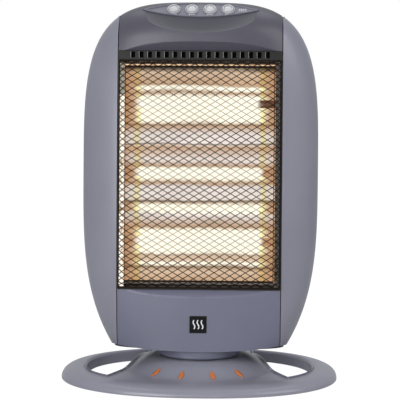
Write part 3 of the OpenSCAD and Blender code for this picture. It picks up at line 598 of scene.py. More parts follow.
M = {
    "shell": moulded("grey_moulded", (126, 126, 138), 0.36, coat=0.12),
    # Painted shade: the upper cover is the grey plastic in a darker copy.
    "cover": moulded("cover_painted_shade", (74, 72, 84), 0.42, coat=0.05),
    # Painted shade: a still darker copy of the plastic for the hollow in front of the control plate.
    "scoop": moulded("scoop_painted_shade", (65, 64, 73), 0.45, coat=0.03),
    # Painted shade: the lower cover is the grey plastic in a slightly darker copy.
    "low_cover": moulded("low_cover_painted_shade", (105, 106, 124), coat=0.05),
    "plate": moulded("plate_moulded", (99, 98, 111), 0.34, coat=0.12),
    "base": moulded("base_moulded", (131, 131, 143), 0.32, coat=0.2),
    "neck": moulded("neck_gloss", (104, 106, 124), 0.12, 900.0, SLIGHT, coat=0.6),
    "black": moulded("black_moulded", (22, 21, 22), 0.42),
    "frame": moulded("frame_black", (26, 25, 23), 0.45, shine=0.3),
    "dark": moulded("unlit_inside", (8, 8, 8), 0.8, shine=0.1),
    # Light grey for the painted highlights on the vent slots' left edges.
    "glint": moulded("painted_edge_highlight", (128, 126, 124), 0.35),
    "badge": moulded("badge_black", (10, 10, 12), 0.5, depth=SLIGHT, shine=0.15),
    "inner": moulded("inner_plastic", (46, 46, 50), 0.5),
    "nylon": moulded("natural_nylon", (214, 211, 200), 0.45),
    "rubber": moulded("rubber", (30, 30, 31), 0.75, 1500.0),
    "silver": moulded("silver_paint", (186, 187, 190), 0.32, 5000.0, SLIGHT, coat=0.4),
    "collar": moulded("collar_silver", (172, 172, 179), 0.3, 5000.0, SLIGHT, coat=0.4),
    "glide": moulded("glide_grey", (52, 52, 58)),
    "print": moulded("white_print", (228, 228, 232), 0.5, depth=SLIGHT),
    "orange": moulded("orange_inlay", (192, 110, 56), 0.22, 700.0, SLIGHT, coat=0.5, spread=0.12),
    "ceramic": moulded("ceramic", (226, 218, 200), 0.7, 1200.0),
    "sleeve": moulded("loom_sleeve", (28, 28, 28), 0.6, 900.0),
    "steel": metal("zinc_plate", (186, 187, 190), 0.32),
    "wire": washed_wire("dark_wire"),
    "end": metal("end_plate_sheet", (190, 160, 120), 0.22),
    # Painted glow on the end plates' lips, in bright, half-lit, warm and dim copies.
    "lip_left": lit_lip("lit_lip", (255, 250, 236), (150, 118, 92), 1.0),
    "lip_grey": lit_lip("half_lit_lip", (160, 152, 138), (74, 68, 60), 0.9),
    "lip_top": lit_lip("warm_lit_lip", (232, 200, 158), (190, 146, 106), 0.95),
    "lip_right": lit_lip("dim_lip", (96, 92, 86), (44, 40, 38), 0.7),
    "tube": lit_tube("lit_quartz", QUARTZ_LIGHT, 1.0),
    "tube_worn": lit_tube("lit_quartz_dark_end", QUARTZ_LIGHT, 1.0, (78, 40, 20), 0.85),
    "filament": lit_tube("filament", (1.0, 0.9, 0.7, 1.0), 2.0),
}


# The body's form ----


def rounding(t, power):
    """From 1 at 0 down to 0 at 1, in a superellipse's quarter."""
    return (1 - np.clip(t, 0, 1) ** power) ** (1 / power)


def half_width(z):
    """Half of the body's width at a height."""
    z = np.clip(z, 0, BODY_H)
    high = BODY_W * rounding((z - WIDEST_Z) / (BODY_H - WIDEST_Z), TOP_POWER)
    low = BODY_W - (BODY_W - FOOT_W) * np.clip(1 - z / WIDEST_Z, 0, 1) ** FOOT_POWER
    return np.where(z > WIDEST_Z, high, low)


def shoulder(z):
    """What the shoulder's round leaves of the depth, from 1 below it to 0 at the top."""
    return rounding((z - BODY_H + SHOULDER) / SHOULDER, SHOULDER_POWER)


def reach(z, front):
    """The body's depth before or behind the swing axis, at its middle."""
    draw = FRONT - FRONT_DRAW * np.clip(1 - z / WIDEST_Z, 0, 1) ** 2
    return shoulder(z) * (draw if front else BACK)


def depth_at(x, z, front=True):
    """How far the surface stands from the swing axis at x and z."""
    return reach(z, front) * rounding(abs(x) / np.maximum(half_width(z), 1e-9), PLAN_POWER)


def top_at(x):
    """Height at which the body closes over x."""
    return WIDEST_Z + (BODY_H - WIDEST_Z) * rounding(abs(x) / BODY_W, TOP_POWER)


def foot_at(x):
    """Height of the lower edge at x."""
    r = (SEAM_X**2 + FOOT_RISE**2) / (2 * FOOT_RISE)
    return r - sqrt(r * r - min(abs(x), r) ** 2)


def resample(path, count):
    """Points evenly spaced along a path."""
    p = np.asarray(path, float)
    s = np.concatenate([[0], np.cumsum(np.linalg.norm(np.diff(p, axis=0), axis=1))])
    t = np.linspace(0, s[-1], count)
    return np.column_stack([np.interp(t, s, p[:, k]) for k in range(p.shape[1])])


def panel_half(x):
    """Half of the control plate's length, front to back, at x."""
    r = (PANEL_HALF**2 + (PANEL_LENGTH / 2) ** 2) / PANEL_LENGTH
    return sqrt(r * r - x * x) - r + PANEL_LENGTH / 2


def scoop_low(x):
    """Height at which the hollow in the shoulder begins at x."""
    return SCOOP_TOP - SCOOP_DROP * sqrt(max(0.0, 1 - (x / SCOOP_HALF) ** 2))


def scooped(x, y, z):
    """The hollow in front of the control plate: from under the plate's lip it runs out into the front."""
    low = scoop_low(x)
    if abs(x) >= SCOOP_HALF or z <= low:
        return y
    y_low = -depth_at(x, low)
    y_top = PANEL_Y - panel_half(x) * sin(PANEL_TILT) + SCOOP_LIP
    z_top = PANEL_Z - panel_half(x) * cos(PANEL_TILT)
    return max(y, y_low + (y_top - y_low) * min((z - low) / (z_top - low), 1) ** SCOOP_POWER)


def upper_cover():
    """From the window's ledge up over the shoulder to the part line."""
    cols, lower_rows, upper_rows = 161, 40, 64
    limit, end_slope = PART_Y - GAP / 2, 0.2
    verts = []
    for x in np.linspace(-COVER_HALF, COVER_HALF, cols):
        top = top_at(x)
        crease = scoop_low(x)
        zs = top - (top - WINDOW_TOP) * np.cos(np.linspace(0, pi / 2, 240))
        front = []
        for z in np.sort(np.append(zs, crease)):
            ledge = -LEDGE_FRONT - (z - WINDOW_TOP)
            front.append((max(scooped(x, -depth_at(x, z), z), ledge), z))
        back = []
        for z in top - (top - WINDOW_TOP) * (1 - np.cos(np.linspace(0, pi / 2, 80))):
            y = depth_at(x, z, front=False)
            if y > limit:
                break
            back.append((y, z))
        if len(back) > 1:
            back.append((limit, back[-1][1] - end_slope * (limit - back[-1][0])))
        lower = [q for q in front if q[1] <= crease]
        upper = [q for q in front if q[1] >= crease] + back[1:]
        ledge_in = resample([(LEDGE_DEPTH - WINDOW_FACE, WINDOW_TOP), (-LEDGE_FRONT, WINDOW_TOP)], 4)[:-1]
        pts = np.vstack([ledge_in, resample(lower, lower_rows), resample(upper, upper_rows)[1:]])
        verts += [(x, y, z) for y, z in pts]
    faces = grid_faces(cols, len(verts) // cols, flip=True)
    # The upper cover is dressed in the darker copy of the grey plastic, which is painted shade.
    piece = skin("upper_cover", verts, faces, "cover")
    # The faces of the hollow under the control plate take the darker painted-shade copy.
    piece.data.materials.append(M["scoop"])
    for face in piece.data.polygons:
        x, y, z = np.mean([verts[v] for v in face.vertices], axis=0)
        if abs(x) < SCOOP_HALF and scoop_low(x) < z < PANEL_Z and y < PANEL_Y + PANEL_LENGTH / 2:
            face.material_index = 1
    opening = prism_part(lens_outline(2 * PANEL_HALF + GAP, PANEL_LENGTH + GAP), -PANEL_DEPTH - GAP, FAR_OUT)
    thicken(piece)
    cut(piece, [opening], PANEL_FRAME, folded=True)
    soften(piece, 0.5 * MM)


def lens_outline(length, width, steps=60):
    """Where two equal circles overlap, anticlockwise."""
    r = ((length / 2) ** 2 + (width / 2) ** 2) / width
    half = asin(length / 2 / r)
    centre = r - width / 2
    low = [(r * sin(a), centre - r * cos(a)) for a in np.linspace(-half, half, steps)]
    high = [(-x, -y) for x, y in low]
    return low[:-1] + high[:-1]


def lower_cover():
    """From the foot up the front to the window's ledge."""
    cols, rows, fold = 101, 44, 6 * MM
    verts = []
    for x in np.linspace(-COVER_HALF, COVER_HALF, cols):
        foot = foot_at(x)
        path = [(-depth_at(x, foot) + fold, foot)]
        for z in np.linspace(foot, WINDOW_LOW, 120):
            ledge = -LEDGE_FRONT - (WINDOW_LOW - z)
            path.append((max(-depth_at(x, z), ledge), z))
        under = resample(path[:2], 3)[:-1]
        ledge_in = resample([path[-1], (LEDGE_DEPTH - WINDOW_FACE, WINDOW_LOW)], 4)[1:]
        pts = np.vstack([under, resample(path[1:], rows), ledge_in])
        verts += [(x, y, z) for y, z in pts]
    faces = grid_faces(cols, len(verts) // cols, flip=True)
    # The lower cover is dressed in the darker copy of the grey plastic, which is painted shade.
    piece = skin("lower_cover", verts, faces, "low_cover")
    thicken(piece)
    soften(piece, 0.5 * MM)


def round_plan(width, depth, angle):
    """Point of the body's plan at an angle from the side, +X, to its middle."""
    c, s = cos(angle), sin(angle)
    return copysign(width * abs(c) ** (2 / PLAN_POWER), c), depth * s ** (2 / PLAN_POWER)


def plan_angle(y, depth):
    """The angle at which round_plan comes to y."""
    return asin(min(1.0, y / max(depth, 1e-9)) ** (PLAN_POWER / 2))


def side_panel(side):
    """A hollow crescent from the seam round to the part line, with a return along the seam."""
    rows, cols = 110, 44
    seam = SEAM_X + GAP / 2
    top = top_at(seam) - 0.3 * MM
    verts = []
    foot = foot_at(SEAM_X)
    for z in foot + (top - foot) * np.sin(np.linspace(0, pi / 2, rows)):
        w, front, back = half_width(z), reach(z, True), reach(z, False)
        front_y = -depth_at(seam, z)
        back_in = min(front_y + LEDGE_DEPTH, PART_Y - GAP)
        ahead = [round_plan(w, front, a) for a in np.linspace(plan_angle(-front_y, front), 0, 80)]
        behind = [round_plan(w, back, a) for a in np.linspace(0, plan_angle(PART_Y - GAP / 2, back), 30)]
        path = [(seam, front_y)] + [(x, -y) for x, y in ahead[1:]] + behind[1:]
        inner = [(seam, back_in), (seam, (back_in + front_y) / 2)]
        verts += [(side * x, y, z) for x, y in np.vstack([inner, resample(path, cols)])]
    node = "side_panel_" + ("right" if side > 0 else "left")
    piece = skin(node, verts, grid_faces(rows, cols + 2, flip=side < 0), "shell")
    thicken(piece)
    soften(piece, 1.1 * MM, 3)


def rear_shell():
    """The back moulding, with its vents and grip opening."""
    rows, cols = 100, 121
    limit = PART_Y + GAP / 2
    top = BODY_H - 0.45 * MM
    verts = []
    for z in REAR_FOOT + (top - REAR_FOOT) * np.sin(np.linspace(0, pi / 2, rows)):
        w, d = half_width(z), reach(z, False)
        a0 = plan_angle(limit, max(d, limit))
        path = [round_plan(w, d, a) for a in np.linspace(a0, pi - a0, 240)]
        verts += [(x, y, z) for x, y in resample([(x, max(y, limit)) for x, y in path], cols)]
    piece = skin("rear_shell", verts, grid_faces(rows, cols), "shell")
    inside, width, height = PART_Y + 5 * MM, 68 * MM, 5 * MM
    slots = [
        box_part((x, inside, z), (x + width, FAR_BACK, z + height))
        for z in (125 * MM + 19 * MM * k for k in range(11))
        for x in (-72 * MM, 4 * MM)
    ]
    grip_z, half, high = BODY_H - 40 * MM, 46.2 * MM, 13.2 * MM
    slots.append(box_part((-half, inside, grip_z - high), (half, FAR_BACK, grip_z + high)))
    thicken(piece)
    cut(piece, slots)
    soften(piece, 0.6 * MM)


# Base ----


def flare(x, y):
    """How far the bridge rises toward the hub."""
    t = np.clip((np.hypot(x, y) - HUB_R) / (FLARE_R - HUB_R), 0, 1)
    return (HUB_Z - RIM_Z) * (1 - t * t * (3 - 2 * t))


def oval(a, half_x, half_y):
    """Point of a slightly squared oval at angle a."""
    c, s = cos(a), sin(a)
    power = 2 / OVAL_POWER
    return half_x * copysign(abs(c) ** power, c), half_y * copysign(abs(s) ** power, s)


def oval_reach(x, y, half_x, half_y):
    """1 on the oval, less inside it."""
    return (abs(x / half_x) ** OVAL_POWER + abs(y / half_y) ** OVAL_POWER) ** (1 / OVAL_POWER)


def ring_fall(t):
    """Height left on the ring, from 1 at the inner rim to 0 at the outer edge."""
    return (RIM_Z - FEET) * rounding(t, RING_POWER)


def bridge_half(y):
    """Half of the bridge's width at y, wider in front."""
    return BRIDGE_HALF - BRIDGE_TAPER * y + BRIDGE_BOW * y * y


def first(low, high, holds):
    """Where, between low and high, a condition begins to hold."""
    for _ in range(60):
        mid = (low + high) / 2
        low, high = (low, mid) if holds(mid) else (mid, high)
    return (low + high) / 2


def bridge_crossing(front):
    """Angle on the inner oval, from +X, where the bridge's right edge meets it."""

    def crossed(a):
        x, y = oval(a, INNER_A, INNER_B)
        return (x > bridge_half(y)) == front

    return first(-pi / 2, 0, crossed) if front else first(0, pi / 2, crossed)


def ring_halves(t):
    """Half axes of the ring's oval, from its inner rim, at 0, to its outer edge, at 1."""
    return INNER_A + (BASE_A - INNER_A) * t, INNER_B + (BASE_B - INNER_B) * t


def base_moulding():
    """Ring and bridge as one sheet, with the two D-shaped holes left open and their edges rounded."""
    a_front, a_back = bridge_crossing(True), bridge_crossing(False)
    n_bridge, n_hole, n_ring, n_deep = 72, 72, 26, 80
    turns = (a_front, a_back, pi - a_back, pi - a_front, 2 * pi + a_front)
    spans = zip(turns, turns[1:], (n_hole, n_bridge) * 2)
    angles = [a for start, end, count in spans for a in np.linspace(start, end, count + 1)[:-1]]
    n = len(angles)
    verts = []
    for t in np.sin(np.linspace(0, pi / 2, n_ring)):
        for a in angles:
            x, y = oval(a, *ring_halves(t))
            verts.append((x, y, FEET + ring_fall(t) + flare(x, y)))
    faces = grid_faces(n_ring, n, wrap=True, flip=True)
    # Bridge: columns join the front arc to the back arc
    columns = []
    for k in range(n_bridge + 1):
        front, back = (2 * n_hole + n_bridge + k) % n, n_hole + n_bridge - k
        start, end = np.array(verts[front][:2]), np.array(verts[back][:2])
        side = 2 * k / n_bridge - 1
        share = abs(side) ** 3
        columns.append([front, *range(len(verts), len(verts) + n_deep - 1), back])
        for j in range(1, n_deep):
            # Straight between the two arcs in the middle, on the bridge's edge at the sides
            x_line, y = start + (end - start) * (j / n_deep)
            x = x_line * (1 - share) + side * bridge_half(y) * share
            verts.append((x, y, RIM_Z + flare(x, y)))
    for one, two in zip(columns, columns[1:]):
        faces += [(one[j], two[j], two[j + 1], one[j + 1]) for j in range(n_deep)]
    # Rounded skirts down the two holes
    right = columns[-1] + [(n_hole - j) % n for j in range(1, n_hole)]
    left = columns[0][::-1] + [(2 * n_hole + n_bridge - j) % n for j in range(1, n_hole)]
    for loop in (right, left):
        skirt(verts, faces, loop, RING_EDGE, FEET)
    return verts, faces


def skirt(verts, faces, loop, radius, low):
    """Rounds an edge loop over and takes it down to a level."""
    pts = np.array([verts[i] for i in loop])
    tangent = np.roll(pts, -1, axis=0) - np.roll(pts, 1, axis=0)
    normal = np.column_stack([tangent[:, 1], -tangent[:, 0]])
    normal /= np.maximum(np.linalg.norm(normal, axis=1), 1e-9)[:, None]
    centre = pts[:, :2].mean(axis=0)
    if np.mean(np.sum(normal * (centre - pts[:, :2]), axis=1)) < 0:
        normal = -normal
    previous = list(loop)
    count = len(loop)
    rounds = [(sin(a), 1 - cos(a)) for a in np.linspace(0, pi / 2, 6)[1:]]
    levels = [(radius * out, radius * down, None) for out, down in rounds] + [(radius, 0, low)]
    area = 0.5 * np.sum(pts[:, 0] * np.roll(pts[:, 1], -1) - np.roll(pts[:, 0], -1) * pts[:, 1])
    for out, down, level in levels:
        start = len(verts)
        for k in range(count):
            x, y = pts[k, :2] + normal[k] * out
            z = pts[k, 2] - down if level is None else level
            verts.append((x, y, z))
        for k in range(count):
            a, b = previous[k], previous[(k + 1) % count]
            c, d = start + (k + 1) % count, start + k
            faces.append((a, b, c, d) if area < 0 else (b, a, d, c))
        previous = list(range(start, start + count))


def base_shell():
    sheet = base_moulding()
    piece = add_mesh("base_moulding", *sheet, "base", "base", "base_plastic", ["base_shell"], BASE_FRAME)
    thicken(piece, BASE_SKIN)
    smooth_by_angle(piece, BASE_ANGLE)


def leaf_inlays():
    """Four slightly domed leaves let into the bridge's front slope."""
    parts = []
    across, along = 9, 31
    dome, proud = 0.5 * MM, 0.05 * MM
    r = ((LEAF_LENGTH / 2) ** 2 + (LEAF_WIDTH / 2) ** 2) / LEAF_WIDTH
    for angle in LEAF_ANGLES:
        c, s = cos(radians(angle)), sin(radians(angle))
        verts = []
        for i in range(along):
            u = -LEAF_LENGTH / 2 + LEAF_LENGTH * i / (along - 1)
            half = max(sqrt(r * r - u * u) - (r - LEAF_WIDTH / 2), 0.02 * MM)
            for j in range(across):
                v = 2 * j / (across - 1) - 1
                x, y = half * v * c - (u - LEAF_RING) * s, half * v * s + (u - LEAF_RING) * c
                verts.append((x, y, surface_z(x, y) + dome * (1 - v**2) + proud))
        parts.append((verts, grid_faces(along, across, flip=True)))
    leaves, name = merge(parts), "leaf_inlay_set"
    piece = add_mesh(name, *leaves, "orange", "base", "orange_inlay", ["leaf_inlays"], BASE_FRAME)
    solidify(piece, 0.9 * MM)


def surface_z(x, y):
    """Height of the base's top surface."""
    if oval_reach(x, y, INNER_A, INNER_B) <= 1:
        return RIM_Z + flare(x, y)
    t = first(0, 1, lambda t: oval_reach(x, y, *ring_halves(t)) <= 1)
    return FEET + ring_fall(t) + flare(x, y)


def turntable():
    """The glossy neck: a turned disc whose top follows the leaning floor plate."""
    low, r, edge, steps = HUB_Z + 1.5 * MM, 53 * MM, 2.5 * MM, 128
    profile = [(r - edge, low)] + [(r - edge + x, low + edge + y) for x, y in arc(edge, -90, 0)[1:]]
    verts, _ = lathe_part(profile, steps)
    for k in range(steps):
        c, s = on_circle(k, steps)
        verts.append((r * c, r * s, FOOT_Z + 3 * MM / cos(LEAN) - r * s * tan(LEAN)))
    rows = len(profile) + 1
    faces = grid_faces(rows, steps, wrap=True)
    faces += [tuple(range(steps))[::-1], tuple(range((rows - 1) * steps, rows * steps))]
    neck = add_mesh("neck_disc", verts, faces, "neck", "head", "neck_gloss", ["turntable"], BASE_FRAME)
    smooth_by_angle(neck)


# Controls ----


def button_x(k):
    return (k - (BUTTONS - 1) / 2) * BUTTON_PITCH


def control_plate():
    """Almond-shaped plate with a raised rim and four holes."""
    outer, inner, under = (
        lens_outline(2 * PANEL_HALF - shorter, PANEL_LENGTH - slimmer, 90)
        for shorter, slimmer in ((0, 0), (10 * MM, 2.5 * MM), (30 * MM, 5 * MM))
    )
    piece = skin("control_plate", *prism_part(outer, -PANEL_DEPTH, 0), "plate", PANEL_FRAME)
    hollows = [prism_part(inner, -1 * MM, 5 * MM), prism_part(under, -PANEL_DEPTH - 5 * MM, -3 * MM)]
    cut(piece, hollows, PANEL_FRAME)
    circle = [(BUTTON_HOLE * cos(a), BUTTON_HOLE * sin(a)) for a in np.linspace(0, 2 * pi, 65)[:-1]]
    deep = 20 * MM
    holes = [prism_part([(button_x(k) + x, y) for x, y in circle], -deep, deep) for k in range(BUTTONS)]
    cut(piece, holes, PANEL_FRAME)
    soften(piece, 0.35 * MM)


def buttons():
    """Round silver buttons with a groove round a dished middle, on stems."""
    r, h, edge = BUTTON_R, BUTTON_HIGH, 1.2 * MM
    groove, dish = r - 2.6 * MM, h - 0.7 * MM
    profile = [(0, STEM_END), (STEM_R, STEM_END), (STEM_R, CAP_FOOT), (r, CAP_FOOT), (r, h - edge)]
    profile += [(r - edge + a, h - edge + b) for a, b in arc(edge, 0, 90)[1:]]
    profile += [(r - 1.5 * MM, h - 0.05 * MM), (r - 1.7 * MM, h - 1.8 * MM), (groove, h - 1.8 * MM)]
    profile += [(q, dish - 0.4 * MM * (q / groove) ** 2) for q in (r - 2.7 * MM, 3 * MM, 1.5 * MM)]
    profile.append((0, dish))
    cap = lathe_part(profile, solid=True)
    for k in range(BUTTONS):
        name = f"button_{k + 1}"
        matrix = PANEL_FRAME @ Matrix.Translation((button_x(k), 0, 0))
        smooth_by_angle(add_mesh(f"{name}_cap", *cap, "silver", name, "silver", [name], matrix))


def button_collars():
    """The ring round each button."""
    outer, foot, top, edge, inner_edge = BUTTON_R + COLLAR, -1 * MM, 1.2 * MM, 0.5 * MM, 0.3 * MM
    profile = [(outer, foot)] + [(outer - edge + a, top - edge + b) for a, b in arc(edge, 0, 90, 4)]
    profile += [(BUTTON_HOLE + inner_edge, top), (BUTTON_HOLE, top - inner_edge), (BUTTON_HOLE, foot)]
    rings = merge([lathe_part(profile, 64, button_x(k), ring=True) for k in range(BUTTONS)])
    piece = add_mesh("collar_set", *rings, "collar", "head", "silver", ["button_collars"], PANEL_FRAME)
    smooth_by_angle(piece)


def button_springs():
    """A coil spring under each button."""
    turns, steps, sides = 3, 32, 8
    rows, clear = turns * steps + 1, SPRING_WIRE + 0.1 * MM
    low, high, room = SWITCH_FACE + clear, CAP_FOOT - clear, CAP_FOOT - SWITCH_FACE
    faces = grid_faces(rows, sides, wrap=True, flip=True)
    faces += [tuple(range(sides)), tuple(range((rows - 1) * sides, rows * sides))[::-1]]
    for k in range(BUTTONS):
        x = button_x(k)
        verts = []
        for i in range(rows):
            c, s = on_circle(i, steps)
            z = low + (high - low) * i / (rows - 1)
            for j in range(sides):
                out, up = on_circle(j, sides)
                r = SPRING_R + SPRING_WIRE * out
                verts.append((x + r * c, r * s, z + SPRING_WIRE * up))
        name = f"button_spring_{k + 1}"
        piece = add_mesh(f"{name}_coil", verts, faces, "steel", "head", "steel", [name], PANEL_FRAME)
        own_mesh(piece)


# Window, guard, reflector ----


def ribbon_part(points, width, thick):
    """A flat strand that follows points in x and z, y being its depth."""
    p = np.asarray(points, float)
    tangent = np.gradient(p, axis=0)
    tangent /= np.linalg.norm(tangent, axis=1)[:, None]
    verts = []
    for q, t in zip(p, tangent):
        side = np.cross(t, (0, 1, 0))
        side /= np.linalg.norm(side)
        deep = np.cross(side, t)
        for a, b in ((-1, -1), (1, -1), (1, 1), (-1, 1)):
            verts.append(q + side * a * width / 2 + deep * b * thick / 2)
    faces = grid_faces(len(p), 4, wrap=True)
    n = len(verts)
    faces += [(3, 2, 1, 0), (n - 4, n - 3, n - 2, n - 1)]
    return verts, faces


def bar_frame(half, low, high, y, side_bar, end_bar):
    """Four straight bars round a window."""
    back = y + side_bar
    return [
        box_part((-half, y, low), (half, back, low + end_bar)),
        box_part((-half, y, high - end_bar), (half, back, high)),
        box_part((-half, y, low + end_bar), (-half + side_bar, back, high - end_bar)),
        box_part((half - side_bar, y, low + end_bar), (half, back, high - end_bar)),
    ]


def guard():
    """Expanded mesh: zigzag strands that touch at their peaks, bent back at the edges into a rim."""
    front = -(WINDOW_FACE + GUARD_DEPTH)
    strand_y, strand_depth = front + STRAND_DEPTH, GUARD_DEPTH - RIM_BAR / 2 - STRAND_DEPTH
    w = TUNNEL_OUT - GUARD_EDGE
    low, high = GUARD_LOW + GUARD_EDGE, GUARD_HIGH - GUARD_EDGE
    fold = hypot(GUARD_EDGE, GUARD_DEPTH - RIM_BAR / 2)

    def bent(u, v):
        """Point of the folded sheet from flat coordinates."""
        over_x = min(max(0.0, abs(u) - w) / fold, 1.0)
        over_z = min(max(0.0, v - high, low - v) / fold, 1.0)
        x = copysign(min(abs(u), w) + over_x * GUARD_EDGE, u)
        z = min(max(v, low), high) + copysign(over_z * GUARD_EDGE, v - low)
        return x, strand_y + max(over_x, over_z) * strand_depth, z

    u_max, v_low, v_high = w + fold, low - fold, high + fold
    rows = int(round((v_high - v_low) / (CELL_H / 2)))
    step = (v_high - v_low) / rows
    count = int(ceil(2 * u_max / CELL_W)) + 1
    peaks = [c for c in range(-count, count + 1) if abs(c * CELL_W / 2) <= u_max]
    parts = []
    for k in range(rows):
        mid = v_low + step * (k + 0.5)
        points = [bent(c * CELL_W / 2, mid + (-1) ** (k + c) * step / 2) for c in peaks]
        parts.append(ribbon_part(points, STRAND, STRAND_DEPTH))
    parts += bar_frame(TUNNEL_OUT, GUARD_LOW, GUARD_HIGH, -WINDOW_FACE - RIM_BAR, RIM_BAR / 2, RIM_BAR / 2)
    parts += bar_frame(w, low, high, front + 0.3 * MM, 0.8 * MM, RIM_BAR)
    add_trim("guard_mesh_fine", merge(parts), "wire", "guard_wire", ["guard_mesh"])


# Painted reflection on a polished sheet beside glowing tubes: its tones in front of the filaments and past
# their ends
TONES = {
    "glare": ((255, 250, 232), (188, 153, 122)),
    "pale": ((222, 214, 209), (216, 208, 203)),
    "warm": ((203, 177, 151), (184, 148, 116)),
    "tan": ((178, 143, 110), (180, 142, 110)),
    "brown": ((144, 114, 82), (138, 108, 80)),
    "dark": ((16, 10, 7), (16, 10, 7)),
}
# The tone at each height in the body, in millimetres: a glare for each tube and for its mirror images
BANDS = (
    (86, "tan"), (99, "warm"), (104, "brown"), (108, "glare"), (112, "warm"), (117.5, "warm"),
    (121.5, "glare"), (149.5, "glare"), (153.5, "tan"), (169, "pale"), (174, "glare"), (181.5, "glare"),
    (185.5, "brown"), (189.5, "pale"), (205, "pale"), (209, "tan"), (214.5, "glare"), (227.5, "glare"),
    (231.5, "tan"), (239, "pale"), (254, "tan"), (259.5, "pale"), (270.5, "pale"), (282.5, "tan"),
    (288.5, "glare"), (318, "glare"), (323.5, "tan"), (328, "glare"), (330.5, "glare"), (333.5, "tan"),
    (347.5, "warm"), (353, "dark"),
)
# Thin darker lines of painted shade in the reflection, two of them at the troughs' ridges: height and half
# width, in millimetres, and the brightness left
LINES = ((258.4, 1.3, 0.35), (186.6, 1.3, 0.4), (283.5, 1.5, 0.6), (118, 1.2, 0.75), (104, 1.5, 0.7))


def reflector():
    """Three polished troughs in one bent sheet."""
    low, high = REFLECTOR_MID - REFLECTOR_HALF, REFLECTOR_MID + REFLECTOR_HALF
    edges = [low, REFLECTOR_MID - RIDGE_OFFSET, REFLECTOR_MID + RIDGE_OFFSET, high]
    steps, cols = 48, 25
    line = []
    for k in range(3):
        for i in range(0 if k == 0 else 1, steps + 1):
            y = TROUGH_Y + (RIDGE_Y - TROUGH_Y) * abs(2 * i / steps - 1) ** TROUGH_POWER
            line.append((y, edges[k] + (edges[k + 1] - edges[k]) * i / steps))
    half = TUNNEL_IN - SHEET
    verts = [(x, y, z) for x in np.linspace(-half, half, cols) for y, z in line]
    faces = grid_faces(cols, len(line), flip=True)
    warm, ends = (
        [((z * MM - low) / (high - low), srgb(*TONES[tone][side])) for z, tone in BANDS] for side in (0, 1)
    )
    lines = [(z * MM, half_line * MM, left) for z, half_line, left in LINES]
    # The sheet's warm bands and dark lines are a painted reflection of the lit tubes.
    M["sheet"] = glowing_sheet("lit_reflector", low, high, warm, ends, lines)
    piece = add_mesh("reflector_sheet_fine", verts, faces, "sheet", "head", "reflector_sheet", ["reflector"])
    solidify(piece, SHEET)
    smooth_by_angle(piece)


# Marks ----


def end_lips():
    """Lips of the end plates, folded out in front of the tunnel's walls, with a painted glow; the left one
    catches the light.
    """
    front, back = -WINDOW_FACE - 1 * MM, -WINDOW_FACE - 0.3 * MM
    inner, outer = TUNNEL_IN - 5.6 * MM, TUNNEL_OUT - 1.3 * MM
    low, step, high = GUARD_LOW + 2 * MM, 319 * MM, GUARD_HIGH - 4 * MM
    top = GUARD_HIGH - GUARD_EDGE
    for name, tone, x0, x1, z0, z1 in (
        ("left_lit", "lip_left", -outer, -inner, low, step),
        ("left_dim", "lip_grey", -outer, -inner, step + 0.1 * MM, high),
        ("right_dim", "lip_right", inner + 0.5 * MM, outer, low, high),
        ("top", "lip_top", -inner, inner, top + 0.9 * MM, top + 2.3 * MM),
    ):
        add_trim(f"end_lip_{name}", box_part((x0, front, z0), (x1, back, z1)), tone, "reflector_sheet")


def vent_highlights_and_shade():
    """Painted highlights on the left edge of each vent slot, and a sheet of painted shade behind the slots.
    """
    side, low, high = SEAM_X - 8 * MM, VENT_LOW + 0.5 * MM, WINDOW_TOP - 0.5 * MM
    # A near-black sheet behind the slots where there is only shade: painted shade.
    shade_sheet = box_part((-side, 6 * MM - WINDOW_FACE, low), (side, 7 * MM - WINDOW_FACE, high))
    add_trim("vent_shade_sheet", shade_sheet, "dark", "dark_plastic")
    # Thin light strips at each slot's left edge: painted highlights.
    low, high = VENT_LOW + 1 * MM, WINDOW_TOP - 1.4 * MM
    front, back = -WINDOW_FACE - 0.25 * MM, -WINDOW_FACE + 0.5 * MM
    edges = [(k - (VENTS - 1) / 2) * VENT_PITCH - VENT_WIDTH / 2 for k in range(VENTS)]
    glints = merge([box_part((x - 0.35 * MM, front, low), (x + 0.25 * MM, back, high)) for x in edges])
    add_trim("vent_edge_highlights", glints, "glint", "dark_plastic")


def control_marks():
    """Plain printed dashes in front of the buttons, and two short rows beside the last one."""
    rows = (-9 * MM, -9.7 * MM, -9.7 * MM, -9 * MM)
    spots = [(button_x(k) + 2.8 * MM * j, rows[k], 2 * MM) for k in range(BUTTONS) for j in (-1, 0, 1)]
    spots += [((48 + 2.6 * k) * MM, y, 1.7 * MM) for k in range(4) for y in (-1.4 * MM, 1.6 * MM)]
    half, low, high = 0.45 * MM, -1.03 * MM, -0.94 * MM
    dashes = merge([box_part((x - w / 2, y - half, low), (x + w / 2, y + half, high)) for x, y, w in spots])
    add_trim("control_print", dashes, "print", "silver", matrix=PANEL_FRAME)


def badge_mark():
    """A generic heat sign on the black plate: three wavy lines."""
    swing, high, steps = 1.1 * MM, 11 * MM, 24
    parts = []
    for middle in (-5 * MM, 0, 5 * MM):
        spots = [(on_circle(i, steps)[1], i / steps - 0.5) for i in range(steps + 1)]
        points = [(middle + swing * out, 0, up * high) for out, up in spots]
        parts.append(ribbon_part(points, 1.3 * MM, 0.3 * MM))
    y = -reach(BADGE_Z, True) - 1.02 * MM
    matrix = BODY_FRAME @ Matrix.Translation((0, y, BADGE_Z)) @ Matrix.Rotation(radians(2.6), 4, "X")
    add_trim("badge_heat_sign", merge(parts), "print", "silver", matrix=matrix)


# Carried-over nodes ----

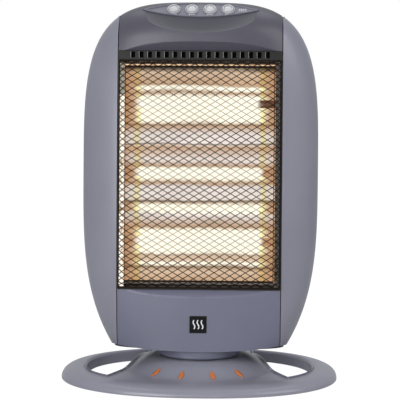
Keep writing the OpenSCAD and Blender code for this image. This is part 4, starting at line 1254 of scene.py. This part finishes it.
# The nodes of each finish; all others are of steel
NODE_FINISH = {
    "inner": ("base_cover", "floor_plate", "handle_cup", "switch_block", "tip_switch", "thermal_cutout"),
    "black": ("cord_gland",),
    "frame": ("window_frame",),
    "badge": ("badge_plate",),
    "rubber": ("rubber_feet",),
    "glide": ("glide_ring",),
    "nylon": ("tip_plunger", "crank", "drive_link", "terminal_block"),
    "ceramic": ("lamp_caps",),
    "sleeve": ("wiring_loom",),
    "end": ("end_plate_left", "end_plate_right"),
    "tube": ("lamp_middle", "lamp_lower"),
    "tube_worn": ("lamp_upper",),
    "filament": ("filaments",),
    "silver": ("button_1", "button_2", "button_3", "button_4"),
}


def dress_nodes():
    finishes = {node: finish for finish, nodes in NODE_FINISH.items() for node in nodes}
    for name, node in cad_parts.items():
        node.data.materials.clear()
        node.data.materials.append(M[finishes.get(name, "steel")])


# Stage ----

WHITE = (1, 1, 1, 1)
AIM = Vector((0, 0, 0.24))
# Name, place, size and power of each area light
LIGHTS = (
    ("key", (-1.2, -2.2, 0.9), (1.4, 1.4), 32),
    ("fill", (1.7, -1.1, 1.6), (1.4, 1.4), 16.5),
    ("low", (-0.2, -1.5, 0.5), (1.0, 0.5), 1.8),
    ("top", (0.0, 0.6, 1.9), (1.6, 1.0), 7),
)


def pale_floor():
    """White to the camera but for a trace of shadow, and a plain pale floor to the light."""
    mat, tree, bsdf = new_material("pale_floor")
    feed(tree, bsdf, {"Base Color": (0.6, 0.6, 0.6, 1), "Roughness": 0.9, "Specular IOR Level": 0.0})
    white = add_node(tree, "Emission", {"Color": WHITE, "Strength": 1.12})
    seen = math_node(tree, "MULTIPLY", add_node(tree, "LightPath").outputs["Is Camera Ray"], 0.88)
    mix = add_node(tree, "MixShader", {"Fac": seen, 1: bsdf.outputs["BSDF"], 2: white.outputs[0]})
    feed(tree, tree.nodes["Material Output"], {"Surface": mix.outputs[0]})
    return mat


def studio_world():
    """White where the camera sees it, and a soft cool light elsewhere."""
    world = bpy.data.worlds.new("studio")
    bpy.context.scene.world = world
    world.use_nodes = True
    tree = world.node_tree
    tree.nodes.clear()
    rays = add_node(tree, "LightPath").outputs
    seen = math_node(tree, "MAXIMUM", rays["Is Camera Ray"], rays["Is Transmission Ray"])
    white = add_node(tree, "Background", {"Color": WHITE, "Strength": 1.0})
    soft = add_node(tree, "Background", {"Color": (0.95, 0.97, 1.0, 1), "Strength": 0.55})
    mix = add_node(tree, "MixShader", {"Fac": seen, 1: soft.outputs[0], 2: white.outputs[0]})
    add_node(tree, "OutputWorld", {"Surface": mix.outputs[0]})


def stage_and_light():
    size = 20.0
    corners = [(-size, -size, 0), (size, -size, 0), (size, size, 0), (-size, size, 0)]
    floor = new_piece("floor", corners, [(0, 1, 2, 3)], BASE_FRAME)
    floor.data.materials.append(pale_floor())
    studio_world()
    for name, place, size_xy, power in LIGHTS:
        data = bpy.data.lights.new(name, "AREA")
        data.shape = "RECTANGLE"
        data.size, data.size_y = size_xy
        data.energy = power
        lamp = add_object(name, data)
        lamp.location = place
        lamp.rotation_euler = (AIM - Vector(place)).to_track_quat("-Z", "Y").to_euler()


def main():
    bpy.context.scene.view_settings.view_transform = "Standard"
    add_camera()
    stage_and_light()
    dress_nodes()
    upper_cover()
    lower_cover()
    side_panel(-1)
    side_panel(1)
    rear_shell()
    base_shell()
    leaf_inlays()
    turntable()
    control_plate()
    buttons()
    button_collars()
    button_springs()
    guard()
    reflector()
    end_lips()
    vent_highlights_and_shade()
    round_edges(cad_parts["window_frame"], 0.45 * MM)
    control_marks()
    badge_mark()


main()
